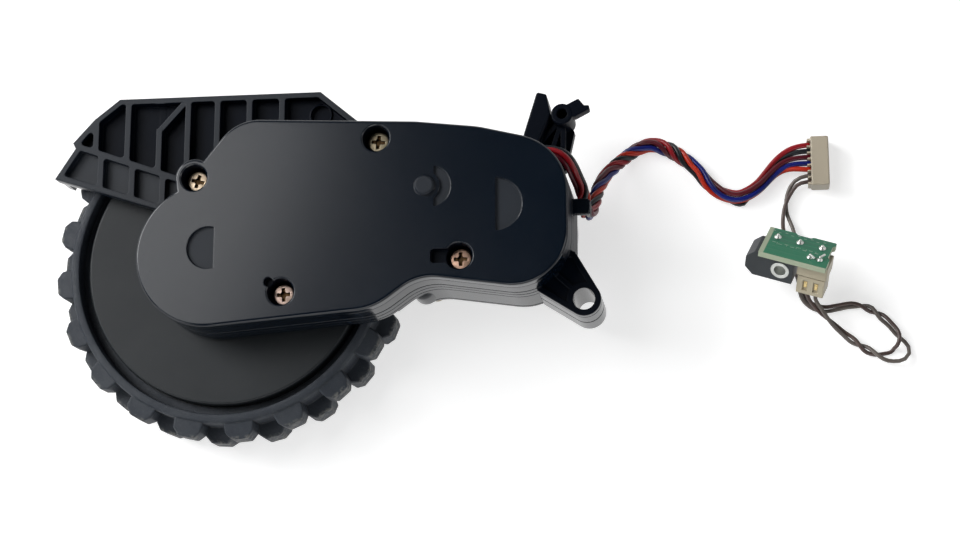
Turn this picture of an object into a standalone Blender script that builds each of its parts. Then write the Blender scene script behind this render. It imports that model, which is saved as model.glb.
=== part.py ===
"""Robot vacuum wheel module: geared wheel drive with mud guard, pivot ear and loose harness.

Frame: the wheel turns about the Z axis and lies on its outer face at z = 0.
+X runs from the wheel to the motor, +Y towards the mud guard, +Z to the flat cover.
All sizes below are millimetres; MM turns them into metres when a mesh is made.
"""
import math

import bmesh
import bpy
from mathutils import Matrix, Vector

MM = 0.001
GAP = 0.3                      # clearance between pieces that touch

# Wheel
TYRE_RADIUS = 35.0
TYRE_WIDTH = 14.0
TREAD_DEPTH = 3.1
LUG_COUNT = 23
LUG_LENGTH = 6.0
TYRE_WALL = 2.6                # rubber between the hub's rim and the root of the lugs
TYRE_SEAT_RADIUS = TYRE_RADIUS - TREAD_DEPTH - TYRE_WALL
GROOVE_RADIUS = TYRE_SEAT_RADIUS + 0.75
HUB_DISC_RADIUS = TYRE_SEAT_RADIUS - 1.15
HUB_FACE_Z = TYRE_WIDTH - 0.4
HUB_WALL = 1.6
HUB_BOSS_RADIUS = 6.5
HUB_RIBS = 6
HUB_CAP_RADIUS = TYRE_SEAT_RADIUS - 2.0 * GAP
HUB_CAP_THICKNESS = 1.2

# Levels of the casing
LID_Z = 6.4
FLOOR_Z = TYRE_WIDTH + 1.2
FLOOR = 1.3
DECK_Z = FLOOR_Z + 3.0
DECK = 1.2
PARTING_Z = DECK_Z + 2.5
COVER_ROOF = 1.8
WALL = 1.6
LID_THICKNESS = 1.2
EAR_TOP_Z = PARTING_Z - 0.7
FENDER_TOP_Z = FLOOR_Z + 3.3

# Cover outline
LOBE_CENTRE = (0.0, -1.2)
LOBE_RADIUS = 14.2
EAR_ARC_CENTRE = (-3.2, 14.0)
EAR_ARC_RADIUS = 3.75
OUTLINE_CORNERS = (            # x, y, corner radius, steps, counter-clockwise from the belly
    (32.2, -12.75, 5.0, 3),
    (40.8, -6.5, 4.5, 3),
    (69.1, -10.0, 8.5, 6),
    (69.1, 17.9, 11.5, 6),
    (52.0, 22.15, 20.0, 1),
    (40.0, 23.6, 20.0, 1),
    (6.4, 25.3, 6.0, 4),
)
WHEEL_ROOM = TYRE_RADIUS + 1.5  # radius kept free for the wheel
COVER_EDGE = 1.2

# Gear train
BOSS_AXIS = (41.9, 10.7)
MODULE_FAST = 0.7
MODULE_SLOW = 0.9
PINION_TEETH = 14
FIRST_TEETH = (26, 14)         # large wheel, small wheel
SECOND_TEETH = (35, 8)
THIRD_TEETH = (32, 7)
OUTPUT_TEETH = 24
MOTOR_ANGLE = -16.5            # from the boss axis to the motor axis, degrees
THIRD_ANGLE = 28.0             # from the wheel axis to the third gear, degrees
GEAR_Z = FLOOR_Z + 2.4
GEAR_FACE = 2.3
GEAR_STEP = 0.35
GEAR_HEADROOM = 0.7
COVER_TOP_Z = GEAR_Z + 3.0 * GEAR_FACE + 2.0 * GEAR_STEP + GEAR_HEADROOM + COVER_ROOF
PIN_RADIUS = 1.0

# Motor
MOTOR_RADIUS = 12.0
MOTOR_LENGTH = 12.3
MOTOR_BOSS_RADIUS = 3.0
ROTOR_RADIUS = 0.75
CUP_WALL = 0.8
MOTOR_SCREW_REACH = 8.0
MAGNET_RADIUS = 3.2

# Output shaft and bushes
SHAFT_RADIUS = 2.5
SHAFT_FLAT = 1.9
JOURNAL_RADIUS = 1.5
BUSH_WALL = 1.3

# Screws
COVER_SCREWS = ((-3.16, 13.93), (32.39, 20.45), (14.37, -9.04), (48.82, -3.17))
WELL_RADIUS = 2.7
WELL_WALL = 0.8
WELL_DEPTH = 4.9
SCREW_HEAD_RADIUS = 1.95
SCREW_HEAD = 1.6
SCREW_LENGTH = 4.2
SCREW_RADIUS = 1.1
CAP_SCREWS = ((WHEEL_ROOM + 6.7, 18.4), (WHEEL_ROOM + 4.5, -5.4), (65.6, -5.7))
CAP_SCREW_LENGTH = 6.5
BOSS_RADIUS = 2.6
POST_WALL = 0.9

# Mud guard
FENDER_OUTLINE = ((-34.4, 17.3), (-13.5, 10.5), (-6.0, 4.0), (24.0, 6.0), (30.0, 20.0), (26.8, 27.0),
                  (19.2, 32.75), (-21.5, 32.9), (-30.9, 24.5), (-30.4, 23.5))
FENDER_DIVIDER = ((-30.6, 24.1), (-8.0, 16.0))
FENDER_WEB = 1.1
SHALLOW_DEPTH = 1.5
RIB = 1.1
DEEP_RIBS = (-26.2, -19.7, -13.2, -7.4, -1.4, 5.1, 11.7)
BRANCH_RIB = ((-13.2, 26.4), (-8.6, 31.6))
SHALLOW_RIBS = (-25.0, -18.5, -12.2)
FENDER_SOCKET = (19.2, 28.9)
SOCKET_RADIUS = 2.0
GUARD_LIP = (WHEEL_ROOM + 0.4, WHEEL_ROOM + 1.6)
GUARD_LIP_Z = 10.5

# Pivot ear, bracket and hooks
EAR_HOLE = (71.3, -10.4)
EAR_RADIUS = 3.25
EAR_HOLE_RADIUS = 2.1
EAR_ROOTS = ((69.7, -1.2), (62.4, -8.6))
POST_CENTRE = (67.4, 26.2)
POST_RADIUS = 2.1
POST_HOLE_RADIUS = 1.05
HOOK_OUTLINE = ((67.6, 25.4), (70.0, 25.6), (72.7, 27.0), (72.7, 27.8), (71.7, 27.8), (70.6, 29.2), (68.2, 28.0))
HOOK_THICKNESS = 2.6
FIN_OUTLINE = ((59.0, 19.0), (67.0, 19.0), (65.2, 25.6), (64.1, 30.1), (62.9, 30.4), (60.0, 22.4))
WEB_OUTLINE = ((59.0, 19.0), (67.0, 16.0), (68.9, 24.0), (67.0, 27.0), (62.5, 26.5), (60.1, 22.4))
BRACKET_Z = 12.5
BRACKET_RIB_Z = 17.4
BRACKET_WEB = 2.2

# Cords
HARNESS_RADIUS = 1.4
LEAD_RADIUS = 1.0
CORD_CORNER = (57.6, 8.95)     # centre of the casing corner that the harness follows
CORD_RUN_RADIUS = 13.4
CORD_RUN = (                   # radius, degrees and drop of the first stretch round the corner
    (10.4, 72.0, 0.0), (11.1, 64.0, 0.0), (12.0, 56.0, 0.0), (12.9, 48.0, 0.0), (13.4, 40.0, 0.1),
    (13.4, 32.0, 0.9), (13.3, 24.0, 2.3),
)
CORD_RUN_Z = DECK_Z + 0.9
HOOK_ROOF_Z = DECK_Z + 0.1
HARNESS_ROUTE = (
    (70.95, 11.4, 15.3), (71.1, 9.0, 14.2), (71.5, 8.2, 12.0), (72.1, 9.2, 9.9), (72.7, 11.6, 8.4),
    (73.3, 14.4, 7.0), (74.4, 17.1, 5.2), (76.0, 19.5, 3.4), (78.0, 21.6, 2.1), (80.4, 23.5, 1.5),
    (83.3, 24.6, 1.5), (86.7, 23.7, 1.5), (90.1, 21.4, 1.5), (92.9, 18.8, 1.5), (95.0, 15.9, 1.5),
    (97.6, 14.0, 1.5), (100.4, 13.2, 1.5), (103.0, 14.0, 1.5), (105.7, 15.9, 1.5), (108.3, 17.9, 1.5),
    (110.6, 19.6, 1.7), (112.4, 20.3, 2.1), (113.95, 20.4, 2.2),
)
LEAD_ROUTE = (
    (113.95, 15.7, 1.9), (112.3, 15.5, 1.8), (111.0, 14.2, 1.3), (110.1, 12.0, 1.1), (109.8, 9.6, 1.1),
    (110.1, 7.0, 1.1), (110.8, 4.0, 1.1), (111.4, 0.6, 1.1), (111.8, -2.8, 1.1), (112.1, -5.6, 1.1),
    (112.9, -7.8, 1.1), (114.6, -9.3, 1.1), (116.8, -9.9, 1.1), (119.2, -9.6, 1.1), (121.8, -9.2, 1.1),
    (124.4, -9.6, 1.1), (126.9, -11.1, 1.1), (129.2, -13.3, 1.1), (130.9, -15.9, 1.1), (131.2, -18.4, 1.1),
    (129.2, -19.6, 1.1), (126.4, -19.1, 1.1), (123.6, -17.5, 1.1), (120.9, -15.5, 1.5), (118.6, -13.5, 2.3),
    (116.8, -11.7, 3.0), (115.4, -10.0, 3.4), (114.5, -8.6, 3.6), (114.10, -7.37, 4.01), (114.205, -6.823, 4.72),
)
PLUG_CORNER = (114.4, 13.5)
PLUG_SIZE = (4.2, 10.9, 4.4)

# Wheel-drop switch on its board
BOARD_CENTRE = (111.65, -0.2, 11.3)
BOARD_SIZE = (13.2, 8.2, 1.2)
BOARD_TILT = 38.0
BOARD_ROLL = -6.0
BOARD_TURN = -18.4
SWITCH_SIZE = (9.4, 5.4, 5.6)
SWITCH_X = -4.5
SWITCH_CHAMFER = 1.6
EYELET_RADIUS = 1.7
HEADER_SIZE = (5.9, 4.6, 3.2)
HEADER_X = 3.8
LEAD_PLUG_SIZE = (5.4, 4.0, 4.2)
PLUNGER_SIZE = (1.4, 1.0, 1.0)
PLUNGER_TRAVEL = 0.5
PIN_PITCH = 4.4


# Small mathematics

def polar(centre, radius, degrees):
    angle = math.radians(degrees)
    return (centre[0] + radius * math.cos(angle), centre[1] + radius * math.sin(angle))


def arc(centre, radius, start, end, steps):
    return [polar(centre, radius, start + (end - start) * i / steps) for i in range(steps + 1)]


def circle(centre, radius, steps):
    return arc(centre, radius, 0.0, 360.0, steps)[:-1]


def fillet(before, corner, after, radius, steps):
    """Points of the arc that rounds one corner of an outline."""
    here = Vector(corner)
    u = (Vector(before) - here).normalized()
    v = (Vector(after) - here).normalized()
    half = u.angle(v) / 2.0
    centre = here + (u + v).normalized() * (radius / math.sin(half))
    first = here + u * (radius / math.tan(half)) - centre
    last = here + v * (radius / math.tan(half)) - centre
    sweep = first.angle_signed(last)
    points = []
    for i in range(steps + 1):
        points.append(tuple(centre + Matrix.Rotation(-sweep * i / steps, 2) @ first))
    return points


def inset(outline, distance):
    """The outline moved inwards by a distance, corner by corner."""
    points = []
    count = len(outline)
    for i in range(count):
        before, here, after = (Vector(outline[(i + k) % count]) for k in (-1, 0, 1))
        first = (here - before).normalized()
        second = (after - here).normalized()
        normal = Vector((-first.y - second.y, first.x + second.x)).normalized()
        share = max(0.5, normal.dot(Vector((-first.y, first.x))))
        points.append(tuple(here + normal * (distance / share)))
    return points


def clip(outline, normal, limit):
    """The part of a convex outline where point . normal <= limit."""
    kept = []
    for i, point in enumerate(outline):
        other = outline[(i + 1) % len(outline)]
        a = point[0] * normal[0] + point[1] * normal[1] - limit
        b = other[0] * normal[0] + other[1] * normal[1] - limit
        if a <= 0.0:
            kept.append(point)
        if a * b < 0.0:
            share = a / (a - b)
            kept.append((point[0] + (other[0] - point[0]) * share, point[1] + (other[1] - point[1]) * share))
    return kept


def meeting_point(first, first_distance, second, second_distance):
    """The point at two given distances from two axes, on the right of the line between them."""
    line = Vector(second) - Vector(first)
    span = line.length
    along = (first_distance ** 2 - second_distance ** 2 + span ** 2) / (2.0 * span)
    aside = math.sqrt(max(0.0, first_distance ** 2 - along ** 2))
    across = Vector((line.y, -line.x)) / span
    return tuple(Vector(first) + line / span * along + across * aside)


# Mesh makers

def prism(outline, low, high, centre=(0.0, 0.0)):
    """An outline in world millimetres raised between two levels, about its own centre."""
    shape = bmesh.new()
    ring = [shape.verts.new(((x - centre[0]) * MM, (y - centre[1]) * MM, low * MM)) for x, y in outline]
    face = shape.faces.new(ring)
    top = bmesh.ops.extrude_face_region(shape, geom=[face])
    verts = [item for item in top["geom"] if isinstance(item, bmesh.types.BMVert)]
    bmesh.ops.translate(shape, verts=verts, vec=(0.0, 0.0, (high - low) * MM))
    bmesh.ops.recalc_face_normals(shape, faces=shape.faces)
    return shape


def turned(profile, segments, centre=(0.0, 0.0)):
    """A closed profile of radius and height, spun about the Z axis."""
    shape = bmesh.new()
    verts = [shape.verts.new((centre[0] * MM + r * MM, centre[1] * MM, z * MM)) for r, z in profile]
    edges = [shape.edges.new((verts[i], verts[(i + 1) % len(verts)])) for i in range(len(verts))]
    bmesh.ops.spin(shape, geom=verts + edges, cent=(centre[0] * MM, centre[1] * MM, 0.0), axis=(0.0, 0.0, 1.0),
                   angle=2.0 * math.pi, steps=segments, use_merge=True)
    bmesh.ops.remove_doubles(shape, verts=shape.verts, dist=0.00001)
    loose = [edge for edge in shape.edges if not edge.link_faces]
    bmesh.ops.delete(shape, geom=loose, context="EDGES")
    bmesh.ops.recalc_face_normals(shape, faces=shape.faces)
    return shape


def rod(radius, low, high, segments, centre=(0.0, 0.0)):
    return prism(circle(centre, radius, segments), low, high)


def tube(outer, inner, low, high, segments, centre=(0.0, 0.0)):
    return turned([(inner, low), (outer, low), (outer, high), (inner, high)], segments, centre)


def box(size, middle):
    shape = bmesh.new()
    bmesh.ops.create_cube(shape, size=1.0)
    bmesh.ops.scale(shape, vec=[s * MM for s in size], verts=shape.verts)
    bmesh.ops.translate(shape, vec=[m * MM for m in middle], verts=shape.verts)
    return shape


def across(profile, start, end):
    """A profile of x and z points extruded along Y."""
    shape = bmesh.new()
    ring = [shape.verts.new((x * MM, start * MM, z * MM)) for x, z in profile]
    face = shape.faces.new(ring)
    moved = bmesh.ops.extrude_face_region(shape, geom=[face])
    verts = [item for item in moved["geom"] if isinstance(item, bmesh.types.BMVert)]
    bmesh.ops.translate(shape, verts=verts, vec=(0.0, (end - start) * MM, 0.0))
    bmesh.ops.recalc_face_normals(shape, faces=shape.faces)
    return shape


def bar(start, end, width, low, high):
    """A straight rib between two plan points."""
    a, b = Vector(start), Vector(end)
    side = (b - a).normalized() * (width / 2.0)
    side = Vector((-side.y, side.x))
    return prism([tuple(a - side), tuple(b - side), tuple(b + side), tuple(a + side)], low, high)


def as_object(name, shape):
    mesh = bpy.data.meshes.new(name)
    shape.to_mesh(mesh)
    shape.free()
    item = bpy.data.objects.new(name, mesh)
    bpy.context.scene.collection.objects.link(item)
    return item


def merged(shapes):
    """Several closed shapes in one mesh, still apart."""
    whole = bmesh.new()
    for shape in shapes:
        mesh = bpy.data.meshes.new("piece")
        shape.to_mesh(mesh)
        shape.free()
        whole.from_mesh(mesh)
        bpy.data.meshes.remove(mesh)
    return whole


def settle(item):
    """Replace an object's mesh by what its modifiers make of it."""
    graph = bpy.context.evaluated_depsgraph_get()
    mesh = bpy.data.meshes.new_from_object(item.evaluated_get(graph))
    item.modifiers.clear()
    old = item.data
    item.data = mesh
    bpy.data.meshes.remove(old)


def boolean(item, shapes, operation):
    """Join, cut or intersect an object with each of the shapes in turn."""
    tools = []
    for shape in shapes:
        tool = as_object("tool", shape)
        tool.hide_render = True
        tool.display_type = "WIRE"
        step = item.modifiers.new(operation.lower(), "BOOLEAN")
        step.operation = operation
        step.solver = "EXACT"
        step.object = tool
        tools.append(tool)
    settle(item)
    for tool in tools:
        mesh = tool.data
        bpy.data.objects.remove(tool)
        bpy.data.meshes.remove(mesh)
    return item


def planed(item):
    """Merge the flat fragments that the cuts leave."""
    shape = bmesh.new()
    shape.from_mesh(item.data)
    bmesh.ops.dissolve_limit(shape, angle_limit=0.002, verts=shape.verts, edges=shape.edges)
    shape.to_mesh(item.data)
    shape.free()
    return item


def join(item, shapes):
    return boolean(item, shapes, "UNION")


def cut(item, shapes):
    return boolean(item, shapes, "DIFFERENCE")


def soften(item, width, segments=2, angle=40.0):
    """Round the edges of a plain solid."""
    step = item.modifiers.new("edges", "BEVEL")
    step.width = width * MM
    step.segments = segments
    step.limit_method = "ANGLE"
    step.angle_limit = math.radians(angle)
    settle(item)
    return item


def finish(item, material, location=None, smooth=True):
    item.data.materials.clear()
    item.data.materials.append(material)
    if smooth:
        item.data.shade_smooth()
        item.data.set_sharp_from_angle(angle=math.radians(35.0))
    if location is not None:
        item.location = Vector(location) * MM
    return item


def make(name, shape, material, location=None, smooth=True):
    return finish(as_object(name, shape), material, location, smooth)


def plastic(name, colour, roughness=0.45, metallic=0.0):
    material = bpy.data.materials.new(name)
    material.use_nodes = True
    shader = material.node_tree.nodes["Principled BSDF"]
    shader.inputs["Base Color"].default_value = (*colour, 1.0)
    shader.inputs["Roughness"].default_value = roughness
    shader.inputs["Metallic"].default_value = metallic
    return material


# Outlines and axes worked out from the sizes

def casing_outline():
    """The cover seen from above: wheel lobe, belly, motor end and the ear round one screw."""
    lobe_end = 274.8
    corners = [polar(LOBE_CENTRE, LOBE_RADIUS, lobe_end)] + [c[:2] for c in OUTLINE_CORNERS]
    ear = arc(EAR_ARC_CENTRE, EAR_ARC_RADIUS, 62.0, 196.0, 6)
    corners.append(ear[0])
    points = arc(LOBE_CENTRE, LOBE_RADIUS, 117.5, lobe_end, 10)
    for i, (x, y, radius, steps) in enumerate(OUTLINE_CORNERS):
        points += fillet(corners[i], (x, y), corners[i + 2], radius, steps)
    return points + ear


OUTLINE = casing_outline()
ROOM = inset(OUTLINE, WALL)
DECK_TOP = DECK_Z + DECK
FLOOR_TOP = FLOOR_Z + FLOOR
ROOF_Z = COVER_TOP_Z - COVER_ROOF
WHEEL_AXIS = (0.0, 0.0)
TRAIN_SLOW = MODULE_SLOW * (OUTPUT_TEETH + THIRD_TEETH[1]) / 2.0
TRAIN_THIRD = MODULE_FAST * (THIRD_TEETH[0] + SECOND_TEETH[1]) / 2.0
TRAIN_SECOND = MODULE_FAST * (SECOND_TEETH[0] + FIRST_TEETH[1]) / 2.0
TRAIN_FIRST = MODULE_FAST * (FIRST_TEETH[0] + PINION_TEETH) / 2.0
THIRD_AXIS = polar(WHEEL_AXIS, TRAIN_SLOW, THIRD_ANGLE)
SECOND_AXIS = meeting_point(THIRD_AXIS, TRAIN_THIRD, BOSS_AXIS, TRAIN_SECOND)
MOTOR_AXIS = polar(BOSS_AXIS, TRAIN_FIRST, MOTOR_ANGLE)
GEAR_AXES = (BOSS_AXIS, SECOND_AXIS, THIRD_AXIS)
OUTPUT_RADIUS = MODULE_SLOW * (OUTPUT_TEETH / 2.0 + 0.8)
LEVELS = [GEAR_Z + i * (GEAR_FACE + GEAR_STEP) for i in range(3)]


# Materials
def palette():
    return {
        "casing": plastic("charcoal_plastic", (0.030, 0.033, 0.040), 0.42),
        "hub": plastic("hub_plastic", (0.045, 0.047, 0.050), 0.40),
        "rubber": plastic("tyre_rubber", (0.022, 0.024, 0.028), 0.75),
        "copper": plastic("copper_screw", (0.55, 0.33, 0.20), 0.32, 1.0),
        "steel": plastic("steel", (0.60, 0.60, 0.60), 0.30, 1.0),
        "bronze": plastic("sintered_bronze", (0.52, 0.40, 0.22), 0.50, 1.0),
        "acetal": plastic("acetal_gear", (0.82, 0.80, 0.74), 0.40),
        "brass": plastic("brass", (0.72, 0.56, 0.25), 0.35, 1.0),
        "black": plastic("black_plastic", (0.02, 0.02, 0.022), 0.45),
        "ferrite": plastic("ferrite", (0.06, 0.06, 0.065), 0.55),
        "board": plastic("green_board", (0.02, 0.28, 0.14), 0.35),
        "cream": plastic("cream_nylon", (0.72, 0.66, 0.52), 0.50),
        "red": plastic("red_wire", (0.45, 0.03, 0.02), 0.45),
        "brown": plastic("brown_wire", (0.16, 0.10, 0.09), 0.50),
    }


# Casing

def fender_cells():
    """The hollows between the ribs of the mud guard."""
    rim = inset(FENDER_OUTLINE, RIB)
    start, end = Vector(FENDER_DIVIDER[0]), Vector(FENDER_DIVIDER[1])
    along = (end - start).normalized()
    up = Vector((-along.y, along.x))
    middle = start.dot(up)
    top = FENDER_TOP_Z + 1.0
    deep_zone = clip(rim, (-up.x, -up.y), -middle - RIB / 2.0)
    shallow_zone = clip(rim, (up.x, up.y), middle - RIB / 2.0)
    zones = ((deep_zone, DEEP_RIBS, FLOOR_Z + FENDER_WEB), (shallow_zone, SHALLOW_RIBS, FENDER_TOP_Z - SHALLOW_DEPTH))
    cells = []
    for zone, ribs, floor in zones:
        edges = [-100.0] + list(ribs) + [100.0]
        for left, right in zip(edges[:-1], edges[1:]):
            cell = clip(clip(zone, (-1.0, 0.0), -left - RIB / 2.0), (1.0, 0.0), right - RIB / 2.0)
            if len(cell) > 2:
                cells.append(prism(cell, floor, top))
    return cells


def build_fender():
    """Mud guard plate with its ribs, socket and the lip round the tyre."""
    fender = as_object("fender", prism(FENDER_OUTLINE, FLOOR_Z, FENDER_TOP_Z))
    cut(fender, fender_cells())
    web_top = FLOOR_Z + FENDER_WEB / 2.0
    join(fender, [bar(BRANCH_RIB[0], BRANCH_RIB[1], RIB, web_top, FENDER_TOP_Z)])
    join(fender, [rod(SOCKET_RADIUS + RIB, web_top, FENDER_TOP_Z, 14, FENDER_SOCKET)])
    cut(fender, [rod(SOCKET_RADIUS, FLOOR_Z + FENDER_WEB, FENDER_TOP_Z + 1.0, 12, FENDER_SOCKET)])
    lip = as_object("lip", tube(GUARD_LIP[1], GUARD_LIP[0], GUARD_LIP_Z, FLOOR_Z + FENDER_WEB / 2.0, 52))
    boolean(lip, [prism(inset(FENDER_OUTLINE, 0.15), GUARD_LIP_Z - 1.0, FENDER_TOP_Z)], "INTERSECT")
    return fender, lip


def build_ear():
    """Pivot ear: tangent plate round the pin hole, parted by a groove, with a ribbed pocket."""
    root_high, root_low = EAR_ROOTS
    outline = [(62.0, -3.0), root_low] + arc(EAR_HOLE, EAR_RADIUS, -122.0, 24.0, 7) + [root_high, (66.0, 1.0)]
    mid = (LID_Z + EAR_TOP_Z) / 2.0
    ear = as_object("ear", prism(outline, LID_Z, mid - GAP))
    join(ear, [prism(inset(outline, 0.35), mid - 1.0, mid + 1.0), prism(outline, mid + GAP, EAR_TOP_Z)])
    lid_room = LID_Z + LID_THICKNESS + 2.0 * GAP
    cut(ear, [prism(inset(OUTLINE, -GAP), LID_Z - 1.0, lid_room),
              rod(BOSS_RADIUS + GAP, LID_Z - 1.0, lid_room, 16, CAP_SCREWS[2])])
    boss = circle(EAR_HOLE, EAR_RADIUS, 16)
    pocket = inset([(61.0, -5.5), root_low, polar(EAR_HOLE, EAR_RADIUS, -122.0), polar(EAR_HOLE, EAR_RADIUS, 24.0),
                    root_high, (66.5, -1.0)], RIB)
    well = as_object("well", prism(pocket, EAR_TOP_Z - 3.0, EAR_TOP_Z + 1.0))
    cut(well, [prism(boss, EAR_TOP_Z - 4.0, EAR_TOP_Z + 2.0)])
    cut(well, [bar((64.6, -4.2), EAR_HOLE, RIB * 0.8, EAR_TOP_Z - 4.0, EAR_TOP_Z + 2.0)])
    return ear, well


def build_bracket():
    """Fin, web, ribs, tubular post and hook arm at the corner over the motor."""
    bracket = as_object("bracket", prism(WEB_OUTLINE, BRACKET_Z, BRACKET_Z + BRACKET_WEB))
    shapes = [prism(FIN_OUTLINE, BRACKET_Z - 0.5, EAR_TOP_Z - 0.5)]
    shapes.append(rod(POST_RADIUS, BRACKET_Z - 2.0, EAR_TOP_Z, 14, POST_CENTRE))
    shapes.append(prism(HOOK_OUTLINE, EAR_TOP_Z - HOOK_THICKNESS, EAR_TOP_Z))
    for root in ((62.4, 20.6), (65.0, 19.0), (67.3, 17.2)):
        shapes.append(bar(root, POST_CENTRE, RIB * 0.8, BRACKET_Z + 0.5, BRACKET_RIB_Z + 0.2))
    join(bracket, shapes)
    way = CORD_RUN_RADIUS + HARNESS_RADIUS + 2.0 * GAP
    cut(bracket, [rod(way, BRACKET_RIB_Z, EAR_TOP_Z + 1.0, 36, CORD_CORNER),
                  rod(POST_HOLE_RADIUS, BRACKET_Z - 3.0, EAR_TOP_Z + 1.0, 10, POST_CENTRE)])
    return bracket


def wire_hook():
    """Roof and lip that hold the harness against the casing wall."""
    wall_x = OUTLINE_CORNERS[2][0]
    reach = wall_x + 2.0 * HARNESS_RADIUS + 3.0 * GAP + RIB
    top = HOOK_ROOF_Z + 1.0
    profile = [(wall_x - 1.0, HOOK_ROOF_Z), (reach - 0.9, HOOK_ROOF_Z), (reach - 0.9, HOOK_ROOF_Z - 2.6),
               (reach, HOOK_ROOF_Z - 2.6), (reach, top - 0.8), (reach - 0.8, top), (wall_x - 1.0, top)]
    return across(profile, 7.2, 12.8)


def take(item):
    """Hand over an object's shape as a mesh and delete the object."""
    shape = bmesh.new()
    shape.from_mesh(item.data)
    mesh = item.data
    bpy.data.objects.remove(item)
    bpy.data.meshes.remove(mesh)
    return shape


def build_base(mats):
    wheel_clear = rod(WHEEL_ROOM, -1.0, FLOOR_Z, 44)
    rim_z = PARTING_Z - GAP / 2.0
    base = as_object("gearbox_base", prism(OUTLINE, LID_Z + LID_THICKNESS + GAP, rim_z))
    cut(base, [wheel_clear])
    fender, lip = build_fender()
    ear, well = build_ear()
    column_low = LID_Z + LID_THICKNESS + 2.0 * GAP
    join(base, [take(fender), take(lip), take(ear), take(build_bracket())])
    join(base, [rod(BOSS_RADIUS, column_low, DECK_TOP - GAP, 16, place) for place in CAP_SCREWS])

    rooms = [prism(ROOM, DECK_TOP, rim_z + 1.0)]
    rooms.append(rod(OUTPUT_RADIUS + 2.0 * GAP, FLOOR_TOP + 0.1, rim_z + 2.0, 24))
    upper = as_object("upper", prism(inset(OUTLINE, WALL + 0.1), FLOOR_TOP, DECK_TOP + 0.5))
    boolean(upper, [rod(WHEEL_ROOM, FLOOR_TOP - 1.0, DECK_TOP + 1.0, 44)], "INTERSECT")
    lower = as_object("lower", prism(ROOM, LID_Z - 1.0, DECK_Z))
    cut(lower, [rod(WHEEL_ROOM + WALL, LID_Z - 2.0, DECK_Z + 1.0, 44)])
    socket_radius = PIN_RADIUS + 1.2
    cut(lower, [rod(BOSS_RADIUS, LID_Z - 2.0, DECK_Z + 1.0, 16, place) for place in CAP_SCREWS])
    cut(lower, [rod(socket_radius, DECK_Z - 2.5, DECK_Z + 1.0, 12, BOSS_AXIS)])
    motor_room = rod(MOTOR_RADIUS + GAP, LID_Z - 1.0, DECK_Z - 0.1, 32, MOTOR_AXIS)
    cut(base, rooms + [take(upper), take(lower), take(well), motor_room])

    posts = []
    for place in COVER_SCREWS:
        seated = FLOOR_TOP if math.hypot(*place) < WHEEL_ROOM + WELL_RADIUS else DECK_TOP
        posts.append(rod(SCREW_RADIUS + GAP + POST_WALL, seated - 0.5, PARTING_Z, 11, place))
    posts.append(rod(socket_radius, FLOOR_TOP - 0.5, LEVELS[1] - GAP, 11, SECOND_AXIS))
    posts.append(rod(socket_radius, FLOOR_TOP - 0.5, LEVELS[0] - GAP, 11, THIRD_AXIS))
    posts.append(rod(socket_radius, DECK_TOP - 0.5, LEVELS[1] - GAP, 11, BOSS_AXIS))
    join(base, posts)

    holes = [rod(EAR_HOLE_RADIUS, LID_Z - 1.0, EAR_TOP_Z + 1.0, 16, EAR_HOLE)]
    for place in COVER_SCREWS:
        holes.append(rod(SCREW_RADIUS + GAP, DECK_Z, PARTING_Z + 1.0, 9, place))
    for place in CAP_SCREWS:
        holes.append(rod(SCREW_RADIUS + GAP, LID_Z, LID_Z + CAP_SCREW_LENGTH + 1.0, 9, place))
    for place, low in ((BOSS_AXIS, DECK_Z - 1.5), (SECOND_AXIS, FLOOR_Z + 0.6), (THIRD_AXIS, FLOOR_Z + 0.6)):
        holes.append(rod(PIN_RADIUS + GAP, low, PARTING_Z + 1.0, 9, place))
    holes.append(rod(SHAFT_RADIUS + GAP + BUSH_WALL + GAP, FLOOR_Z - 1.0, FLOOR_TOP + 1.0, 16))
    holes.append(rod(MOTOR_BOSS_RADIUS + GAP, DECK_Z - 1.0, DECK_TOP + 1.0, 14, MOTOR_AXIS))
    for place in motor_screw_places():
        holes.append(rod(SCREW_RADIUS + GAP, DECK_Z - 1.0, DECK_TOP + 1.0, 9, place))
    cut(base, holes)
    notch = []
    for radius, angle, drop in CORD_RUN[:5]:
        place = polar(CORD_CORNER, radius, angle)
        notch.append(rod(HARNESS_RADIUS + 2.0 * GAP, CORD_RUN_Z - HARNESS_RADIUS - GAP, PARTING_Z + 1.0, 12, place))
    cut(base, notch)
    join(base, [wire_hook()])
    return finish(planed(base), mats["casing"])


def motor_screw_places():
    return [polar(MOTOR_AXIS, MOTOR_SCREW_REACH, angle) for angle in (72.0, 252.0)]


def half_disc(centre, radius, edge, side):
    """A circle cut off by an upright line at a distance from its centre."""
    swing = math.degrees(math.acos(max(-1.0, min(1.0, edge / radius))))
    if side > 0:
        return arc(centre, radius, -swing, swing, 12)
    return arc(centre, radius, swing, 360.0 - swing, 16)


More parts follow.
